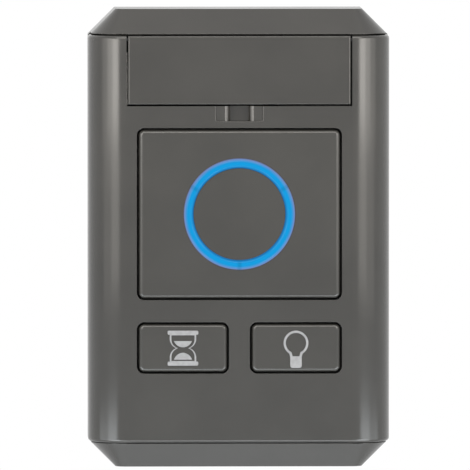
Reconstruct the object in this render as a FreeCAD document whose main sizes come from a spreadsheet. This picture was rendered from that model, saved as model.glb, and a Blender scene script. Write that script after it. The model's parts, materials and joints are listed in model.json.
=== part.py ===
import FreeCAD, Part

import math
import os
import re

import Sketcher

# A wireless wall console: a hooked wall bracket, a moulded housing and cover,
# a flip cover over the cell bay, three sprung buttons and the board behind them.
# Millimetres. X is to the right, Z is up, the wall is the plane Y = 0 and the
# front faces -Y. A "level" is a distance from the wall, so Y is minus the level.

SIZES = {
    # Outer form
    "body_width": 79.0,
    "body_height": 120.0,
    "body_depth": 27.0,
    "end_chamfer": 7.0,
    "seam_rise": 0.5,
    "end_radius": 3.0,
    "rail_radius": 10.0,
    "shell_wall": 2.0,
    "cap_inset": 0.15,
    "cap_core": 3.1,
    "cap_edge_radius": 0.12,
    "cover_edge_radius": 1.0,
    "seam_gap": 0.3,
    "low_seam_gap": 0.1,
    "side_split": 9.0,
    "parting_gap": 0.2,
    "wall_standoff": 0.4,
    # Wall bracket and its hooks
    "bracket_clearance": 2.7,
    "bracket_height": 98.0,
    "bracket_thickness": 2.0,
    "bracket_corner": 4.0,
    "recess_clearance": 0.6,
    "screw_pitch": 83.3,
    "wall_screw_radius": 2.1,
    "wall_screw_head_radius": 4.2,
    "hook_margin": 3.8,
    "hook_room": 2.4,
    "hook_pitch": 52.0,
    "hook_width": 6.0,
    "hook_thickness": 1.6,
    "lip_height": 3.2,
    "lip_thickness": 1.4,
    "hook_clearance": 0.3,
    "lift_travel": 3.8,
    # Screws that close the case, and the bosses that take them
    "case_boss_radius": 2.5,
    "case_boss_inset": 7.5,
    "case_boss_drop": 2.8,
    "case_boss_rise": 6.0,
    "case_screw_radius": 1.0,
    "case_screw_reach": 10.0,
    "case_head_radius": 2.3,
    "case_head_height": 1.5,
    "screw_fit": 0.05,
    "hole_clearance": 0.3,
    # Flip cover and its hinge
    "flip_gap": 0.4,
    "flip_thickness": 2.2,
    "flip_edge_radius": 0.4,
    "hinge_inset": 1.0,
    "hinge_pin_radius": 0.5,
    "hinge_pin_length": 5.0,
    "hinge_pin_reach": 1.6,
    "hinge_fit": 0.06,
    "collar_wall": 1.2,
    "collar_depth": 1.4,
    # Finger notch under the flip cover
    "notch_width": 12.2,
    "notch_height": 3.9,
    "notch_corner": 0.5,
    "notch_ledge_depth": 0.4,
    "notch_edge_radius": 0.3,
    "notch_channel_width": 7.5,
    "notch_slope_width": 1.4,
    "notch_slope_depth": 1.65,
    "notch_slope_radius": 2.2,
    "notch_well_depth": 2.4,
    "notch_wall": 1.0,
    # Push buttons
    "main_spacing": 5.72,
    "main_margin": 2.7,
    "main_height": 45.0,
    "small_gap": 5.5,
    "small_spacing": 5.8,
    "small_height": 13.45,
    "opening_radius": 1.9,
    "opening_edge_radius": 0.15,
    "button_gap": 0.5,
    "button_proud": 0.5,
    "button_plate": 2.0,
    "button_skirt": 1.4,
    "button_edge_radius": 1.15,
    "flange_overlap": 0.7,
    "flange_thickness": 1.2,
    "flange_clearance": 0.3,
    "button_travel": 0.6,
    "post_radius": 2.0,
    "rib_thickness": 1.0,
    "legend_thickness": 0.15,
    "legend_field": 10.0,
    # Light ring
    "ring_radius": 13.3,
    "ring_width": 2.6,
    "ring_proud": 0.6,
    "ring_groove_depth": 1.0,
    "ring_fit": 0.06,
    "ring_leg_radius": 0.9,
    # Cell and its tray
    "cell_radius": 8.5,
    "cell_length": 34.5,
    "cell_nub_radius": 3.2,
    "cell_nub_height": 1.4,
    "cell_clearance": 0.2,
    "cell_edge_radius": 0.6,
    "cell_well": 12.8,
    "contact_thickness": 0.4,
    "contact_width": 10.0,
    "contact_dimple": 0.8,
    "leaf_height": 4.0,
    "tail_width": 2.4,
    "tray_wall": 1.2,
    "tray_top_wall": 1.03,
    "tray_rim_gap": 0.3,
    "panel_drop": 2.2,
    # Circuit board
    "board_setback": 13.0,
    "board_thickness": 1.6,
    "board_clearance": 0.6,
    "board_foot": 3.0,
    "board_post_radius": 2.5,
    "board_post_inset": 3.6,
    "board_screw_radius": 1.0,
    "board_screw_reach": 6.0,
    "board_head_radius": 2.0,
    "board_head_height": 1.3,
    # Switches, lamps and other parts on the board
    "switch_side": 6.0,
    "switch_height": 3.5,
    "switch_edge": 0.4,
    "plunger_radius": 1.7,
    "plunger_out": 1.0,
    "plunger_in": 1.2,
    "plunger_fit": 0.1,
    "lamp_width": 3.5,
    "lamp_depth": 2.8,
    "lamp_height": 1.9,
    "lamp_clearance": 0.3,
    "learn_rise": 3.5,
    "learn_radius": 2.5,
    "learn_proud": 1.2,
    "learn_flange": 0.7,
    "learn_flange_thickness": 0.9,
    "learn_edge_radius": 0.5,
    "lens_drop": 4.0,
    "lens_radius": 1.5,
    "lens_proud": 0.4,
    "lens_flange": 0.6,
    "chip_width": 7.0,
    "chip_height": 1.0,
    "radio_width": 14.0,
    "radio_length": 10.0,
    "radio_height": 2.4,
    "crystal_width": 10.0,
    "crystal_length": 3.8,
    "crystal_height": 3.2,
    "capacitor_radius": 2.5,
    "capacitor_height": 5.4,
    "capacitor_pitch": 6.0,
    "antenna_width": 34.0,
    "antenna_strip": 1.4,
    "antenna_thickness": 0.4,
    "antenna_height": 4.0,
    "component_rise": 10.0,
    "component_gap": 0.5,
    "antenna_row": 1.9,
    "antenna_feet": 4.9,
}

document = FreeCAD.newDocument("WallConsole")
sheet = document.addObject("Spreadsheet::Sheet", "Sizes")
for row, (alias, size) in enumerate(SIZES.items(), start=1):
    sheet.set(f"A{row}", alias)
    sheet.set(f"B{row}", str(size))
    sheet.setAlias(f"B{row}", alias)
document.recompute()

# Places worked out from the sizes, as expressions
HALF_WIDTH = "(body_width / 2)"
HALF_HEIGHT = "(body_height / 2)"
END_START = "(body_height / 2 - end_chamfer)"
SEAM = f"({END_START} + seam_rise)"
WALL_BACK = "(bracket_thickness + recess_clearance)"
WALL_FRONT = f"({WALL_BACK} + shell_wall)"
COVER_INNER = "(body_depth - shell_wall)"
COVER_END = f"({SEAM} - seam_gap)"
COVER_FOOT = f"({SEAM} - low_seam_gap)"
HOOK_STEM_FRONT = f"({WALL_FRONT} + hook_clearance)"

BAY_TOP = f"({COVER_END} - tray_top_wall)"
BAY_CENTRE = f"({BAY_TOP} - cell_clearance - cell_radius)"
BAY_LOW = f"({BAY_CENTRE} - cell_radius - cell_clearance)"
FLIP_TOP = f"({SEAM} - flip_gap)"
HINGE_HEIGHT = f"({FLIP_TOP} - hinge_inset)"
HINGE_LEVEL = "(body_depth - hinge_inset)"

TRAY_HALF = "(body_width / 2 - rail_radius)"
MAIN_WIDTH = f"(2 * ({TRAY_HALF} - main_margin))"
MAIN_CENTRE = f"({BAY_LOW} - main_spacing - main_height / 2)"
SMALL_WIDTH = f"(({MAIN_WIDTH} - small_gap) / 2)"
SMALL_X = f"((small_gap + {SMALL_WIDTH}) / 2)"
SMALL_CENTRE = f"({MAIN_CENTRE} - main_height / 2 - small_spacing - small_height / 2)"
BUTTON_FACE = "(body_depth + button_proud)"
BUTTON_BACK = f"({BUTTON_FACE} - button_plate)"
FLANGE_FRONT = f"({COVER_INNER} - flange_clearance)"
FLANGE_BACK = f"({FLANGE_FRONT} - flange_thickness)"
GROOVE_FLOOR = f"({BUTTON_FACE} - ring_groove_depth)"

TRAY_RIM = f"({COVER_INNER} - collar_depth - tray_rim_gap)"
PANEL_FRONT = f"({COVER_INNER} - panel_drop - flip_thickness + shell_wall)"
PANEL_BACK = f"({PANEL_FRONT} - tray_wall)"
CELL_LEVEL = f"({WALL_BACK} + tray_wall + cell_clearance + cell_radius)"
CELL_LEFT = f"(-{TRAY_HALF} + contact_thickness + leaf_height)"
CELL_RIGHT = f"({CELL_LEFT} + cell_length)"
TROUGH_RIGHT = f"({CELL_RIGHT} + contact_dimple + contact_thickness)"

BOSS_X = f"({HALF_WIDTH} - case_boss_inset)"
BOSS_TOP = f"({BAY_LOW} - tray_wall - board_clearance - tail_width - case_boss_drop)"
BOSS_LOW = f"(-{SEAM} + case_boss_rise)"
BRACKET_WIDTH = f"(2 * ({BOSS_X} - case_head_radius - bracket_clearance))"

BOARD_BACK = "(body_depth - board_setback)"
BOARD_FRONT = f"({BOARD_BACK} + board_thickness)"
BOARD_HALF = f"({BOSS_X} - case_boss_radius - board_clearance)"
BOARD_TOP = f"({BAY_LOW} - tray_wall - board_clearance)"
BOARD_LOW = f"(-{SEAM} + board_foot)"
TAB_LEFT = f"({TROUGH_RIGHT} + tray_wall + board_clearance)"
POST_X = f"({BOARD_HALF} - board_post_inset)"
POST_TOP = f"({BOARD_TOP} - tail_width - board_head_radius - hole_clearance)"
POST_LOW = f"({BOARD_LOW} + board_post_inset)"
HOOK_X = f"({POST_X} - board_post_radius - hook_margin - hook_width / 2)"
HOOK_HIGH = f"({BAY_LOW} - tray_wall - hook_room - lip_height - hook_thickness)"
HOOK_LOW = f"({HOOK_HIGH} - hook_pitch)"
PLUNGER_TIP = f"({BOARD_FRONT} + switch_height + plunger_out)"
LAMP_FRONT = f"({BOARD_FRONT} + lamp_height)"
PANEL_X = f"(({TAB_LEFT} + {TRAY_HALF}) / 2)"
LEARN_Z = f"({BAY_CENTRE} + learn_rise)"
LENS_Z = f"({BAY_CENTRE} - lens_drop)"
LEARN_STEP = f"({PANEL_BACK} - flange_clearance)"
RADIO_Z = f"({SMALL_CENTRE} + component_rise)"
CHIP_X = "(-radio_width / 2 - component_gap - crystal_width / 2)"
CHIP_Z = f"({RADIO_Z} + (chip_width - radio_length) / 2)"
CRYSTAL_Z = f"({CHIP_Z} + (chip_width + crystal_length) / 2 + component_gap)"
CAN_X = "(radio_width / 2 + component_gap + capacitor_radius)"

# The plane on which the sketches of each view lie
VIEWS = {"front": "XZ_Plane", "top": "XY_Plane", "side": "YZ_Plane"}

LEFT, RIGHT = -1, 1

# Places nearer than this are one place
SAME_PLACE = 0.001


def bound(expression):
    """Give an expression with every size's name written as its cell on the sheet."""
    return re.sub(
        r"[a-z_]+",
        lambda word: f"Sizes.{word.group()}" if word.group() in SIZES else word.group(),
        str(expression),
    )


def number(expression):
    """Give the value that an expression has now."""
    return float(sheet.evalExpression(bound(expression)))


def polygon(*points):
    """Give a closed outline of (x, y) or (x, y, radius) points.

    A radius makes the run from that point to the next one an arc, which turns
    left where the radius is positive and right where it is negative.
    """
    return [(str(x), str(y), str(bend[0]) if bend else "") for x, y, *bend in points]


def box(x, y, width, height):
    """Give a rectangle round the centre (x, y)."""
    left, right = f"({x}) - ({width}) / 2", f"({x}) + ({width}) / 2"
    low, high = f"({y}) - ({height}) / 2", f"({y}) + ({height}) / 2"
    return polygon((left, low), (right, low), (right, high), (left, high))


def span(left, low, right, high):
    """Give a rectangle between two corners."""
    return polygon((left, low), (right, low), (right, high), (left, high))


def rounded(x, y, width, height, radius):
    """Give a rectangle round the centre (x, y) with round corners."""
    left, right = f"({x}) - ({width}) / 2", f"({x}) + ({width}) / 2"
    low, high = f"({y}) - ({height}) / 2", f"({y}) + ({height}) / 2"
    radius = f"({radius})"
    return polygon(
        (f"{left} + {radius}", low),
        (f"{right} - {radius}", low, radius),
        (right, f"{low} + {radius}"),
        (right, f"{high} - {radius}", radius),
        (f"{right} - {radius}", high),
        (f"{left} + {radius}", high, radius),
        (left, f"{high} - {radius}"),
        (left, f"{low} + {radius}", radius),
    )


def disc(x, y, radius):
    """Give a circle as its centre and radius."""
    return (str(x), str(y), str(radius))


def on_plane(axis, level):
    """Give a test for edges that lie in the plane where one coordinate is level."""
    place = number(level)
    return lambda edge: all(abs(getattr(v.Point, axis) - place) < SAME_PLACE for v in edge.Vertexes)


class Piece:
    """One sub-part of the console: a body whose features follow the sheet."""

    def __init__(self, label, x="0", z="0"):
        self.body = document.addObject("PartDesign::Body", label)
        self.body.Label = label
        self.body.setExpression("Placement.Base.x", bound(x))
        self.body.setExpression("Placement.Base.z", bound(z))

    def sketch(self, name, view, offset, *outlines):
        """Draw outlines on one of the body's own planes, moved along its normal."""
        sketch = self.body.newObject("Sketcher::SketchObject", name + "Sketch")
        plane = next(f for f in self.body.Origin.OriginFeatures if f.Role == VIEWS[view])
        sketch.AttachmentSupport = [(plane, "")]
        sketch.MapMode = "FlatFace"
        sketch.setExpression("AttachmentOffset.Base.z", bound(offset))
        for outline in outlines:
            if isinstance(outline, tuple):
                self.draw_circle(sketch, *outline)
            else:
                self.draw_path(sketch, outline)
        return sketch

    def fix(self, sketch, kind, value, *places):
        """Add a dimension to a sketch and bind it to its expression."""
        index = sketch.addConstraint(Sketcher.Constraint(kind, *places, number(value)))
        sketch.setExpression(f"Constraints[{index}]", bound(value))

    def draw_circle(self, sketch, x, y, radius):
        """Draw a circle whose centre and radius are bound."""
        centre = FreeCAD.Vector(number(x), number(y), 0)
        circle = Part.Circle(centre, FreeCAD.Vector(0, 0, 1), number(radius))
        index = sketch.addGeometry(circle)
        self.fix(sketch, "DistanceX", x, -1, 1, index, 3)
        self.fix(sketch, "DistanceY", y, -1, 1, index, 3)
        self.fix(sketch, "Radius", radius, index)

    def draw_path(self, sketch, points):
        """Draw a closed outline whose points and radii are bound."""
        places = [FreeCAD.Vector(number(x), number(y), 0) for x, y, _ in points]
        ends = []
        for i, (_, _, bend) in enumerate(points):
            start, end = places[i], places[(i + 1) % len(points)]
            index = sketch.addGeometry(self.run(start, end, number(bend)) if bend
                                       else Part.LineSegment(start, end))
            forward = (sketch.Geometry[index].StartPoint - start).Length < SAME_PLACE
            ends.append((index, 1, 2) if forward else (index, 2, 1))
        for i, (x, y, bend) in enumerate(points):
            index, first, last = ends[i]
            following, joined, _ = ends[(i + 1) % len(points)]
            sketch.addConstraint(
                Sketcher.Constraint("Coincident", index, last, following, joined))
            self.fix(sketch, "DistanceX", x, -1, 1, index, first)
            self.fix(sketch, "DistanceY", y, -1, 1, index, first)
            if bend:
                self.fix(sketch, "Radius", f"abs({bend})", index)

    @staticmethod
    def run(start, end, bend):
        """Give the shorter arc between two points with a signed radius."""
        chord = end - start
        square = FreeCAD.Vector(-chord.y, chord.x, 0).normalize()
        side = 1 if bend > 0 else -1
        reach = max(bend ** 2 - (chord.Length / 2) ** 2, 0) ** 0.5
        centre = (start + end) * 0.5 + square * reach * side
        first, last = (start, end) if side == 1 else (end, start)
        angles = [math.atan2(place.y - centre.y, place.x - centre.x) for place in (first, last)]
        if angles[1] < angles[0]:
            angles[1] += 2 * math.pi
        return Part.ArcOfCircle(Part.Circle(centre, FreeCAD.Vector(0, 0, 1), abs(bend)), *angles)

    def add(self, name, low, high, *outlines, view="front"):
        """Add material between two levels along a view's normal."""
        feature = self.body.newObject("PartDesign::Pad", name)
        feature.Profile = self.sketch(name, view, low, *outlines)
        feature.setExpression("Length", bound(f"({high}) - ({low})"))
        document.recompute()
        return feature

    def cut(self, name, low, high, *outlines, view="front"):
        """Take material away between two levels along a view's normal."""
        before = self.body.Shape.Volume
        feature = self.body.newObject("PartDesign::Pocket", name)
        feature.Profile = self.sketch(name, view, high, *outlines)
        feature.setExpression("Length", bound(f"({high}) - ({low})"))
        document.recompute()
        if self.body.Shape.Volume >= before:
            raise ValueError(f"{self.body.Label}: {name} takes nothing away")
        return feature

    def loft(self, name, *sections):
        """Add a straight-sided loft through (height, outline) sections in the top view."""
        sketches = [self.sketch(f"{name}{i}", "top", height, outline)
                    for i, (height, outline) in enumerate(sections)]
        feature = self.body.newObject("PartDesign::AdditiveLoft", name)
        feature.Profile = sketches[0]
        feature.Sections = [(sketch, "") for sketch in sketches[1:]]
        feature.Ruled = True
        document.recompute()
        return feature

    def turn(self, name, outline, kind="Revolution"):
        """Turn an outline, drawn in the top view, about the body's Y axis."""
        feature = self.body.newObject(f"PartDesign::{kind}", name)
        sketch = self.sketch(name, "top", "0", outline)
        feature.Profile = sketch
        feature.ReferenceAxis = (sketch, ["V_Axis"])
        feature.Angle = 360.0
        document.recompute()
        return feature

    def ease(self, name, radius, chosen):
        """Round the edges of the body that a test chooses."""
        tip = self.body.Tip
        edges = [f"Edge{i}" for i, edge in enumerate(tip.Shape.Edges, start=1) if chosen(edge)]
        feature = self.body.newObject("PartDesign::Fillet", name)
        feature.Base = (tip, edges)
        feature.setExpression("Radius", bound(radius))
        document.recompute()
        return feature


def console_section(inset, taper, radius, back):
    """Give the console's section: a flat front between two round rails."""
    side = f"{HALF_WIDTH} - {inset} - {taper}"
    front = f"body_depth - {inset} - {taper}"
    radius = f"({radius})"
    return polygon(
        (f"-({side})", f"-({back})"),
        (f"-({side})", f"-({front} - {radius})", radius),
        (f"-({side} - {radius})", f"-({front})"),
        (f"{side} - {radius}", f"-({front})", radius),
        (side, f"-({front} - {radius})"),
        (side, f"-({back})"),
    )


def corners(x, low, high, radius):
    """Give four circles at plus and minus x, at two heights."""
    return [disc(f"{side} * {x}", height, radius) for side in (LEFT, RIGHT)
            for height in (low, high)]


def wall_bracket():
    """Make the plate that is screwed to the wall, with its four hooks."""
    piece = Piece("wall_bracket")
    piece.add("Plate", "0", "bracket_thickness",
              rounded("0", "0", BRACKET_WIDTH, "bracket_height", "bracket_corner"))
    for name, side, height in hook_places():
        x = f"{side} * {HOOK_X}"
        stem = box(x, f"{height} + hook_thickness / 2", "hook_width", "hook_thickness")
        lip = box(x, f"{height} + (hook_thickness + lip_height) / 2", "hook_width",
                  "hook_thickness + lip_height")
        piece.add(f"Stem{name}", "bracket_thickness", f"{HOOK_STEM_FRONT} + lip_thickness", stem)
        piece.add(f"Lip{name}", HOOK_STEM_FRONT, f"{HOOK_STEM_FRONT} + lip_thickness", lip)
    piece.cut("ScrewHoles", "0", "bracket_thickness",
              disc("0", "screw_pitch / 2", "wall_screw_radius"),
              disc("0", "-screw_pitch / 2", "wall_screw_radius"))
    piece.cut("CableWindow", "0", "bracket_thickness",
              rounded("0", "0", f"{BRACKET_WIDTH} / 3", "bracket_height / 3", "bracket_corner"))
    return piece


def hook_places():
    """Give a name, a side and the height of its foot for each of the four hooks."""
    for side, side_name in ((LEFT, "Left"), (RIGHT, "Right")):
        yield f"Upper{side_name}", side, HOOK_HIGH
        yield f"Lower{side_name}", side, HOOK_LOW


def rear_housing():
    """Make the rear housing: both tapered end caps, the low walls and the back wall."""
    piece = Piece("rear_housing")
    full = console_section("cap_inset", "0", "rail_radius", "wall_standoff")
    end = console_section("cap_inset", "end_chamfer", "end_radius", "wall_standoff")
    piece.loft("Form", (f"-{HALF_HEIGHT}", end), (f"-{END_START}", full), (END_START, full),
               (HALF_HEIGHT, end))
    piece.cut("FrontOpening", "side_split", "body_depth + button_proud",
              box("0", "0", "body_width * 2", f"2 * {SEAM}"))
    piece.cut("Inside", WALL_FRONT, "side_split",
              box("0", "0", "body_width - 2 * (cap_inset + shell_wall)", f"2 * {SEAM}"))
    recess_side = f"({HALF_WIDTH} - cap_inset - shell_wall)"
    recess_end = f"({HALF_HEIGHT} - shell_wall)"
    piece.cut("BracketRecess", "0", WALL_BACK, polygon(
        (f"-{recess_side}", f"-{END_START}"),
        (f"-{recess_side} + end_chamfer", f"-{recess_end}"),
        (f"{recess_side} - end_chamfer", f"-{recess_end}"),
        (recess_side, f"-{END_START}"),
        (recess_side, END_START),
        (f"{recess_side} - end_chamfer", recess_end),
        (f"-{recess_side} + end_chamfer", recess_end),
        (f"-{recess_side}", END_START),
    ))
    core_width = "body_width - 2 * (end_chamfer + end_radius + shell_wall)"
    for name, sign in (("Upper", 1), ("Lower", -1)):
        core_centre = f"{sign} * ({HALF_HEIGHT} - shell_wall - cap_core / 2)"
        piece.cut(f"{name}Core", "0", "body_depth - end_chamfer - shell_wall",
                  box("0", core_centre, core_width, "cap_core"))
    for name, side, height in hook_places():
        slot_low = f"({height} - lift_travel - 2 * hook_clearance)"
        slot_high = f"({height} + hook_thickness + hook_clearance)"
        half = "(hook_width / 2 + hook_clearance)"
        x = f"({side} * {HOOK_X})"
        piece.cut(f"HookSlot{name}", WALL_BACK, WALL_FRONT,
                  span(f"{x} - {half}", slot_low, f"{x} + {half}", slot_high))
    for name, sign in (("Upper", 1), ("Lower", -1)):
        low = f"({sign} * screw_pitch / 2 - wall_screw_head_radius - lift_travel)"
        high = f"({sign} * screw_pitch / 2 + wall_screw_head_radius)"
        head = "wall_screw_head_radius"
        piece.cut(f"{name}HeadSlot", WALL_BACK, WALL_FRONT,
                  rounded("0", f"({low} + {high}) / 2", f"2 * {head} + hole_clearance",
                          f"{high} - {low} + hole_clearance", head))
    well_half = "((cell_well / 2) + tray_wall + hole_clearance)"
    well_end = "(tray_wall + hole_clearance)"
    piece.cut("WellWindow", WALL_BACK, WALL_FRONT,
              span(f"-{TRAY_HALF} - {well_end}", f"{BAY_CENTRE} - {well_half}",
                   f"{TROUGH_RIGHT} + {well_end}", f"{BAY_CENTRE} + {well_half}"))
    piece.add("BoardPosts", WALL_FRONT, BOARD_BACK,
              *corners(POST_X, POST_LOW, POST_TOP, "board_post_radius"))
    piece.cut("BoardPilots", f"{BOARD_FRONT} - board_screw_reach - hole_clearance", BOARD_BACK,
              *corners(POST_X, POST_LOW, POST_TOP, "board_screw_radius + screw_fit"))
    piece.cut("CaseHoles", WALL_BACK, WALL_FRONT,
              *corners(BOSS_X, BOSS_LOW, BOSS_TOP, "case_screw_radius + hole_clearance"))
    for name, sign in (("Upper", 1), ("Lower", -1)):
        seam = on_plane("z", f"{sign} * {SEAM}")
        ledge = number("side_split") + SAME_PLACE
        piece.ease(f"{name}SeamEdge", "cap_edge_radius",
                   lambda edge: seam(edge) and min(-v.Point.y for v in edge.Vertexes) > ledge)
    return piece


def front_cover():
    """Make the front cover: a flat front and two round rails, with its openings."""
    piece = Piece("front_cover")
    back = "side_split + parting_gap"
    piece.add("Form", f"-{COVER_FOOT}", COVER_END,
              console_section("0", "0", "rail_radius", back), view="top")
    for name, level in (("Upper", COVER_END), ("Lower", f"-{COVER_FOOT}")):
        end = on_plane("z", level)
        rear = number(back) + SAME_PLACE
        piece.ease(f"{name}EndEdge", "cover_edge_radius",
                   lambda edge: end(edge) and max(-v.Point.y for v in edge.Vertexes) > rear)
    piece.cut("Hollow", f"-{HALF_HEIGHT}", HALF_HEIGHT,
              console_section("shell_wall", "0", "rail_radius - shell_wall", back), view="top")
    piece.add("CaseBosses", WALL_FRONT, f"{COVER_INNER} + hole_clearance",
              *corners(BOSS_X, BOSS_LOW, BOSS_TOP, "case_boss_radius"))
    piece.cut("CasePilots", WALL_FRONT, f"{WALL_BACK} + case_screw_reach + hole_clearance",
              *corners(BOSS_X, BOSS_LOW, BOSS_TOP, "case_screw_radius + screw_fit"))
    piece.cut("FlipOpening", f"{COVER_INNER} - hole_clearance", "body_depth + button_proud",
              span(f"-{TRAY_HALF}", BAY_LOW, TRAY_HALF, HALF_HEIGHT))
    collar_back = f"{COVER_INNER} - collar_depth"
    outer = f"({TRAY_HALF} + collar_wall)"
    piece.add("Collar", collar_back, f"{COVER_INNER} + hole_clearance", polygon(
        (f"-{outer}", f"{BAY_LOW} - collar_wall"),
        (outer, f"{BAY_LOW} - collar_wall"),
        (outer, COVER_END),
        (TRAY_HALF, COVER_END),
        (TRAY_HALF, BAY_LOW),
        (f"-{TRAY_HALF}", BAY_LOW),
        (f"-{TRAY_HALF}", COVER_END),
        (f"-{outer}", COVER_END),
    ))
    piece.add("NotchBlock", collar_back, f"{COVER_INNER} + hole_clearance",
              span("-(notch_width / 2 + notch_wall)", f"{BAY_LOW} - notch_height - notch_wall",
                   "notch_width / 2 + notch_wall", BAY_LOW))
    piece.cut("ButtonOpenings", f"{COVER_INNER} - hole_clearance", "body_depth + button_proud",
              rounded("0", MAIN_CENTRE, MAIN_WIDTH, "main_height", "opening_radius"),
              *[rounded(f"{side} * {SMALL_X}", SMALL_CENTRE, SMALL_WIDTH, "small_height",
                        "opening_radius") for side in (LEFT, RIGHT)])
    front = on_plane("y", "-body_depth")
    side, top = number(f"{MAIN_WIDTH} / 2 + button_gap"), number(f"{BAY_LOW} - main_spacing / 2")
    piece.ease("OpeningEdges", "opening_edge_radius", lambda edge: front(edge) and all(
        abs(v.Point.x) < side and v.Point.z < top for v in edge.Vertexes))
    notch_low = f"({BAY_LOW} - notch_height)"
    ledge = "(body_depth - notch_ledge_depth)"
    piece.cut("NotchLedge", ledge, "body_depth + button_proud",
              rounded("0", f"{BAY_LOW} - notch_height / 2 + notch_corner", "notch_width",
                      "notch_height + 2 * notch_corner", "notch_corner"))
    half, foot = number("notch_width / 2") + SAME_PLACE, number(notch_low) - SAME_PLACE
    piece.ease("NotchEdge", "notch_edge_radius", lambda edge: front(edge) and all(
        abs(v.Point.x) < half and v.Point.z > foot for v in edge.Vertexes))
    outer, inner = "(notch_channel_width / 2)", "(notch_channel_width / 2 - notch_slope_width)"
    bend, floor = "-(body_depth - notch_slope_depth)", "-(body_depth - notch_well_depth)"
    piece.cut("NotchChannel", notch_low, BAY_LOW, polygon(
        (f"-{outer}", "-body_depth"),
        (outer, "-body_depth"),
        (outer, f"-{ledge}", "-notch_slope_radius"),
        (inner, bend),
        (inner, floor),
        (f"-{inner}", floor),
        (f"-{inner}", bend, "-notch_slope_radius"),
        (f"-{outer}", f"-{ledge}"),
    ), view="top")
    for side, name in ((LEFT, "Left"), (RIGHT, "Right")):
        low = TRAY_HALF if side == RIGHT else f"-{TRAY_HALF} - hinge_pin_reach - hinge_fit"
        high = f"{TRAY_HALF} + hinge_pin_reach + hinge_fit" if side == RIGHT else f"-{TRAY_HALF}"
        piece.cut(f"{name}HingeHole", low, high,
                  disc(f"-{HINGE_LEVEL}", HINGE_HEIGHT, "hinge_pin_radius + hinge_fit"),
                  view="side")
    return piece


def flip_cover():
    """Make the flip cover over the cell bay, with the seats of its hinge pins."""
    piece = Piece("flip_cover")
    half = f"({TRAY_HALF} - flip_gap)"
    piece.add("Plate", "body_depth - flip_thickness", "body_depth",
              span(f"-{half}", f"{BAY_LOW} + flip_gap", half, FLIP_TOP))
    piece.ease("FrontEdges", "flip_edge_radius", on_plane("y", "-body_depth"))
    for side, name in ((LEFT, "Left"), (RIGHT, "Right")):
        seat = "hinge_pin_length - hinge_pin_reach - flip_gap"
        low = f"{half} - ({seat})" if side == RIGHT else f"-{half}"
        high = half if side == RIGHT else f"-{half} + {seat}"
        piece.cut(f"{name}PinSeat", low, high,
                  disc(f"-{HINGE_LEVEL}", HINGE_HEIGHT, "hinge_pin_radius"), view="side")
    return piece


def hinge_pin(name, side):
    """Make one of the two short steel pins that the flip cover turns on."""
    piece = Piece(name)
    outer = f"({TRAY_HALF} + hinge_pin_reach)"
    inner = f"({outer} - hinge_pin_length)"
    low, high = (inner, outer) if side == RIGHT else (f"-{outer}", f"-{inner}")
    piece.add("Pin", low, high, disc(f"-{HINGE_LEVEL}", HINGE_HEIGHT, "hinge_pin_radius"),
              view="side")
    return piece


def push_button(label, width, height, x, z):
    """Make a push button: a plate with a skirt, a flange behind the cover and a post."""
    piece = Piece(label, x, z)
    plate_width, plate_height = f"({width} - 2 * button_gap)", f"({height} - 2 * button_gap)"
    radius = "opening_radius - button_gap"
    piece.add("Plate", FLANGE_BACK, BUTTON_FACE,
              rounded("0", "0", plate_width, plate_height, radius))
    piece.ease("FrontEdge", "button_edge_radius", on_plane("y", f"-{BUTTON_FACE}"))
    piece.add("Flange", FLANGE_BACK, FLANGE_FRONT,
              rounded("0", "0", f"{width} + 2 * flange_overlap", f"{height} + 2 * flange_overlap",
                      "opening_radius"))
    piece.cut("Hollow", FLANGE_BACK, BUTTON_BACK,
              box("0", "0", f"{plate_width} - 2 * button_skirt",
                  f"{plate_height} - 2 * button_skirt"))
    piece.add("RibAcross", FLANGE_BACK, f"{BUTTON_BACK} + button_plate / 2",
              box("0", "0", f"{plate_width} - button_skirt", "rib_thickness"))
    piece.add("Post", PLUNGER_TIP, f"{BUTTON_BACK} + button_plate / 2",
              disc("0", "0", "post_radius"))
    return piece


def ring_legs(radius):
    """Give the outlines of the light ring's three legs, one of them at the bottom."""
    return [disc("0", "-ring_radius", radius),
            disc("ring_radius * sqrt(3) / 2", "ring_radius / 2", radius),
            disc("-ring_radius * sqrt(3) / 2", "ring_radius / 2", radius)]


def ring_section(fit, level):
    """Give the section of the light ring or of its groove, down to a floor."""
    inner = f"ring_radius - ring_width / 2 - {fit}"
    outer = f"ring_radius + ring_width / 2 + {fit}"
    return span(inner, f"-({level})", outer, f"-{GROOVE_FLOOR}")


def main_button():
    """Make the large button, with the groove and the leg holes of the light ring."""
    piece = push_button("main_button", MAIN_WIDTH, "main_height", "0", MAIN_CENTRE)
    piece.turn("RingGroove", ring_section("ring_fit", f"{BUTTON_FACE} + button_proud"), "Groove")
    piece.cut("LegHoles", FLANGE_BACK, GROOVE_FLOOR, *ring_legs("ring_leg_radius + ring_fit"))
    return piece


def ring_light():
    """Make the clear light ring: a round crown on a band, with three light legs."""
    piece = Piece("ring_light", "0", MAIN_CENTRE)
    inner, outer = "ring_radius - ring_width / 2", "ring_radius + ring_width / 2"
    crown = f"-({BUTTON_FACE} + ring_proud - ring_width / 2)"
    piece.turn("Ring", polygon(
        (inner, crown, "ring_width / 2"),
        ("ring_radius", f"-({BUTTON_FACE} + ring_proud)", "ring_width / 2"),
        (outer, crown),
        (outer, f"-{GROOVE_FLOOR}"),
        (inner, f"-{GROOVE_FLOOR}"),
    ))
    piece.add("Legs", f"{LAMP_FRONT} + lamp_clearance + button_travel",
              f"{GROOVE_FLOOR} + ring_groove_depth / 2", *ring_legs("ring_leg_radius"))
    return piece


def scaled(value):
    """Give a size of a legend, in tenths of the square field that it is drawn on."""
    return f"({value} / 10 * legend_field)"


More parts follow.
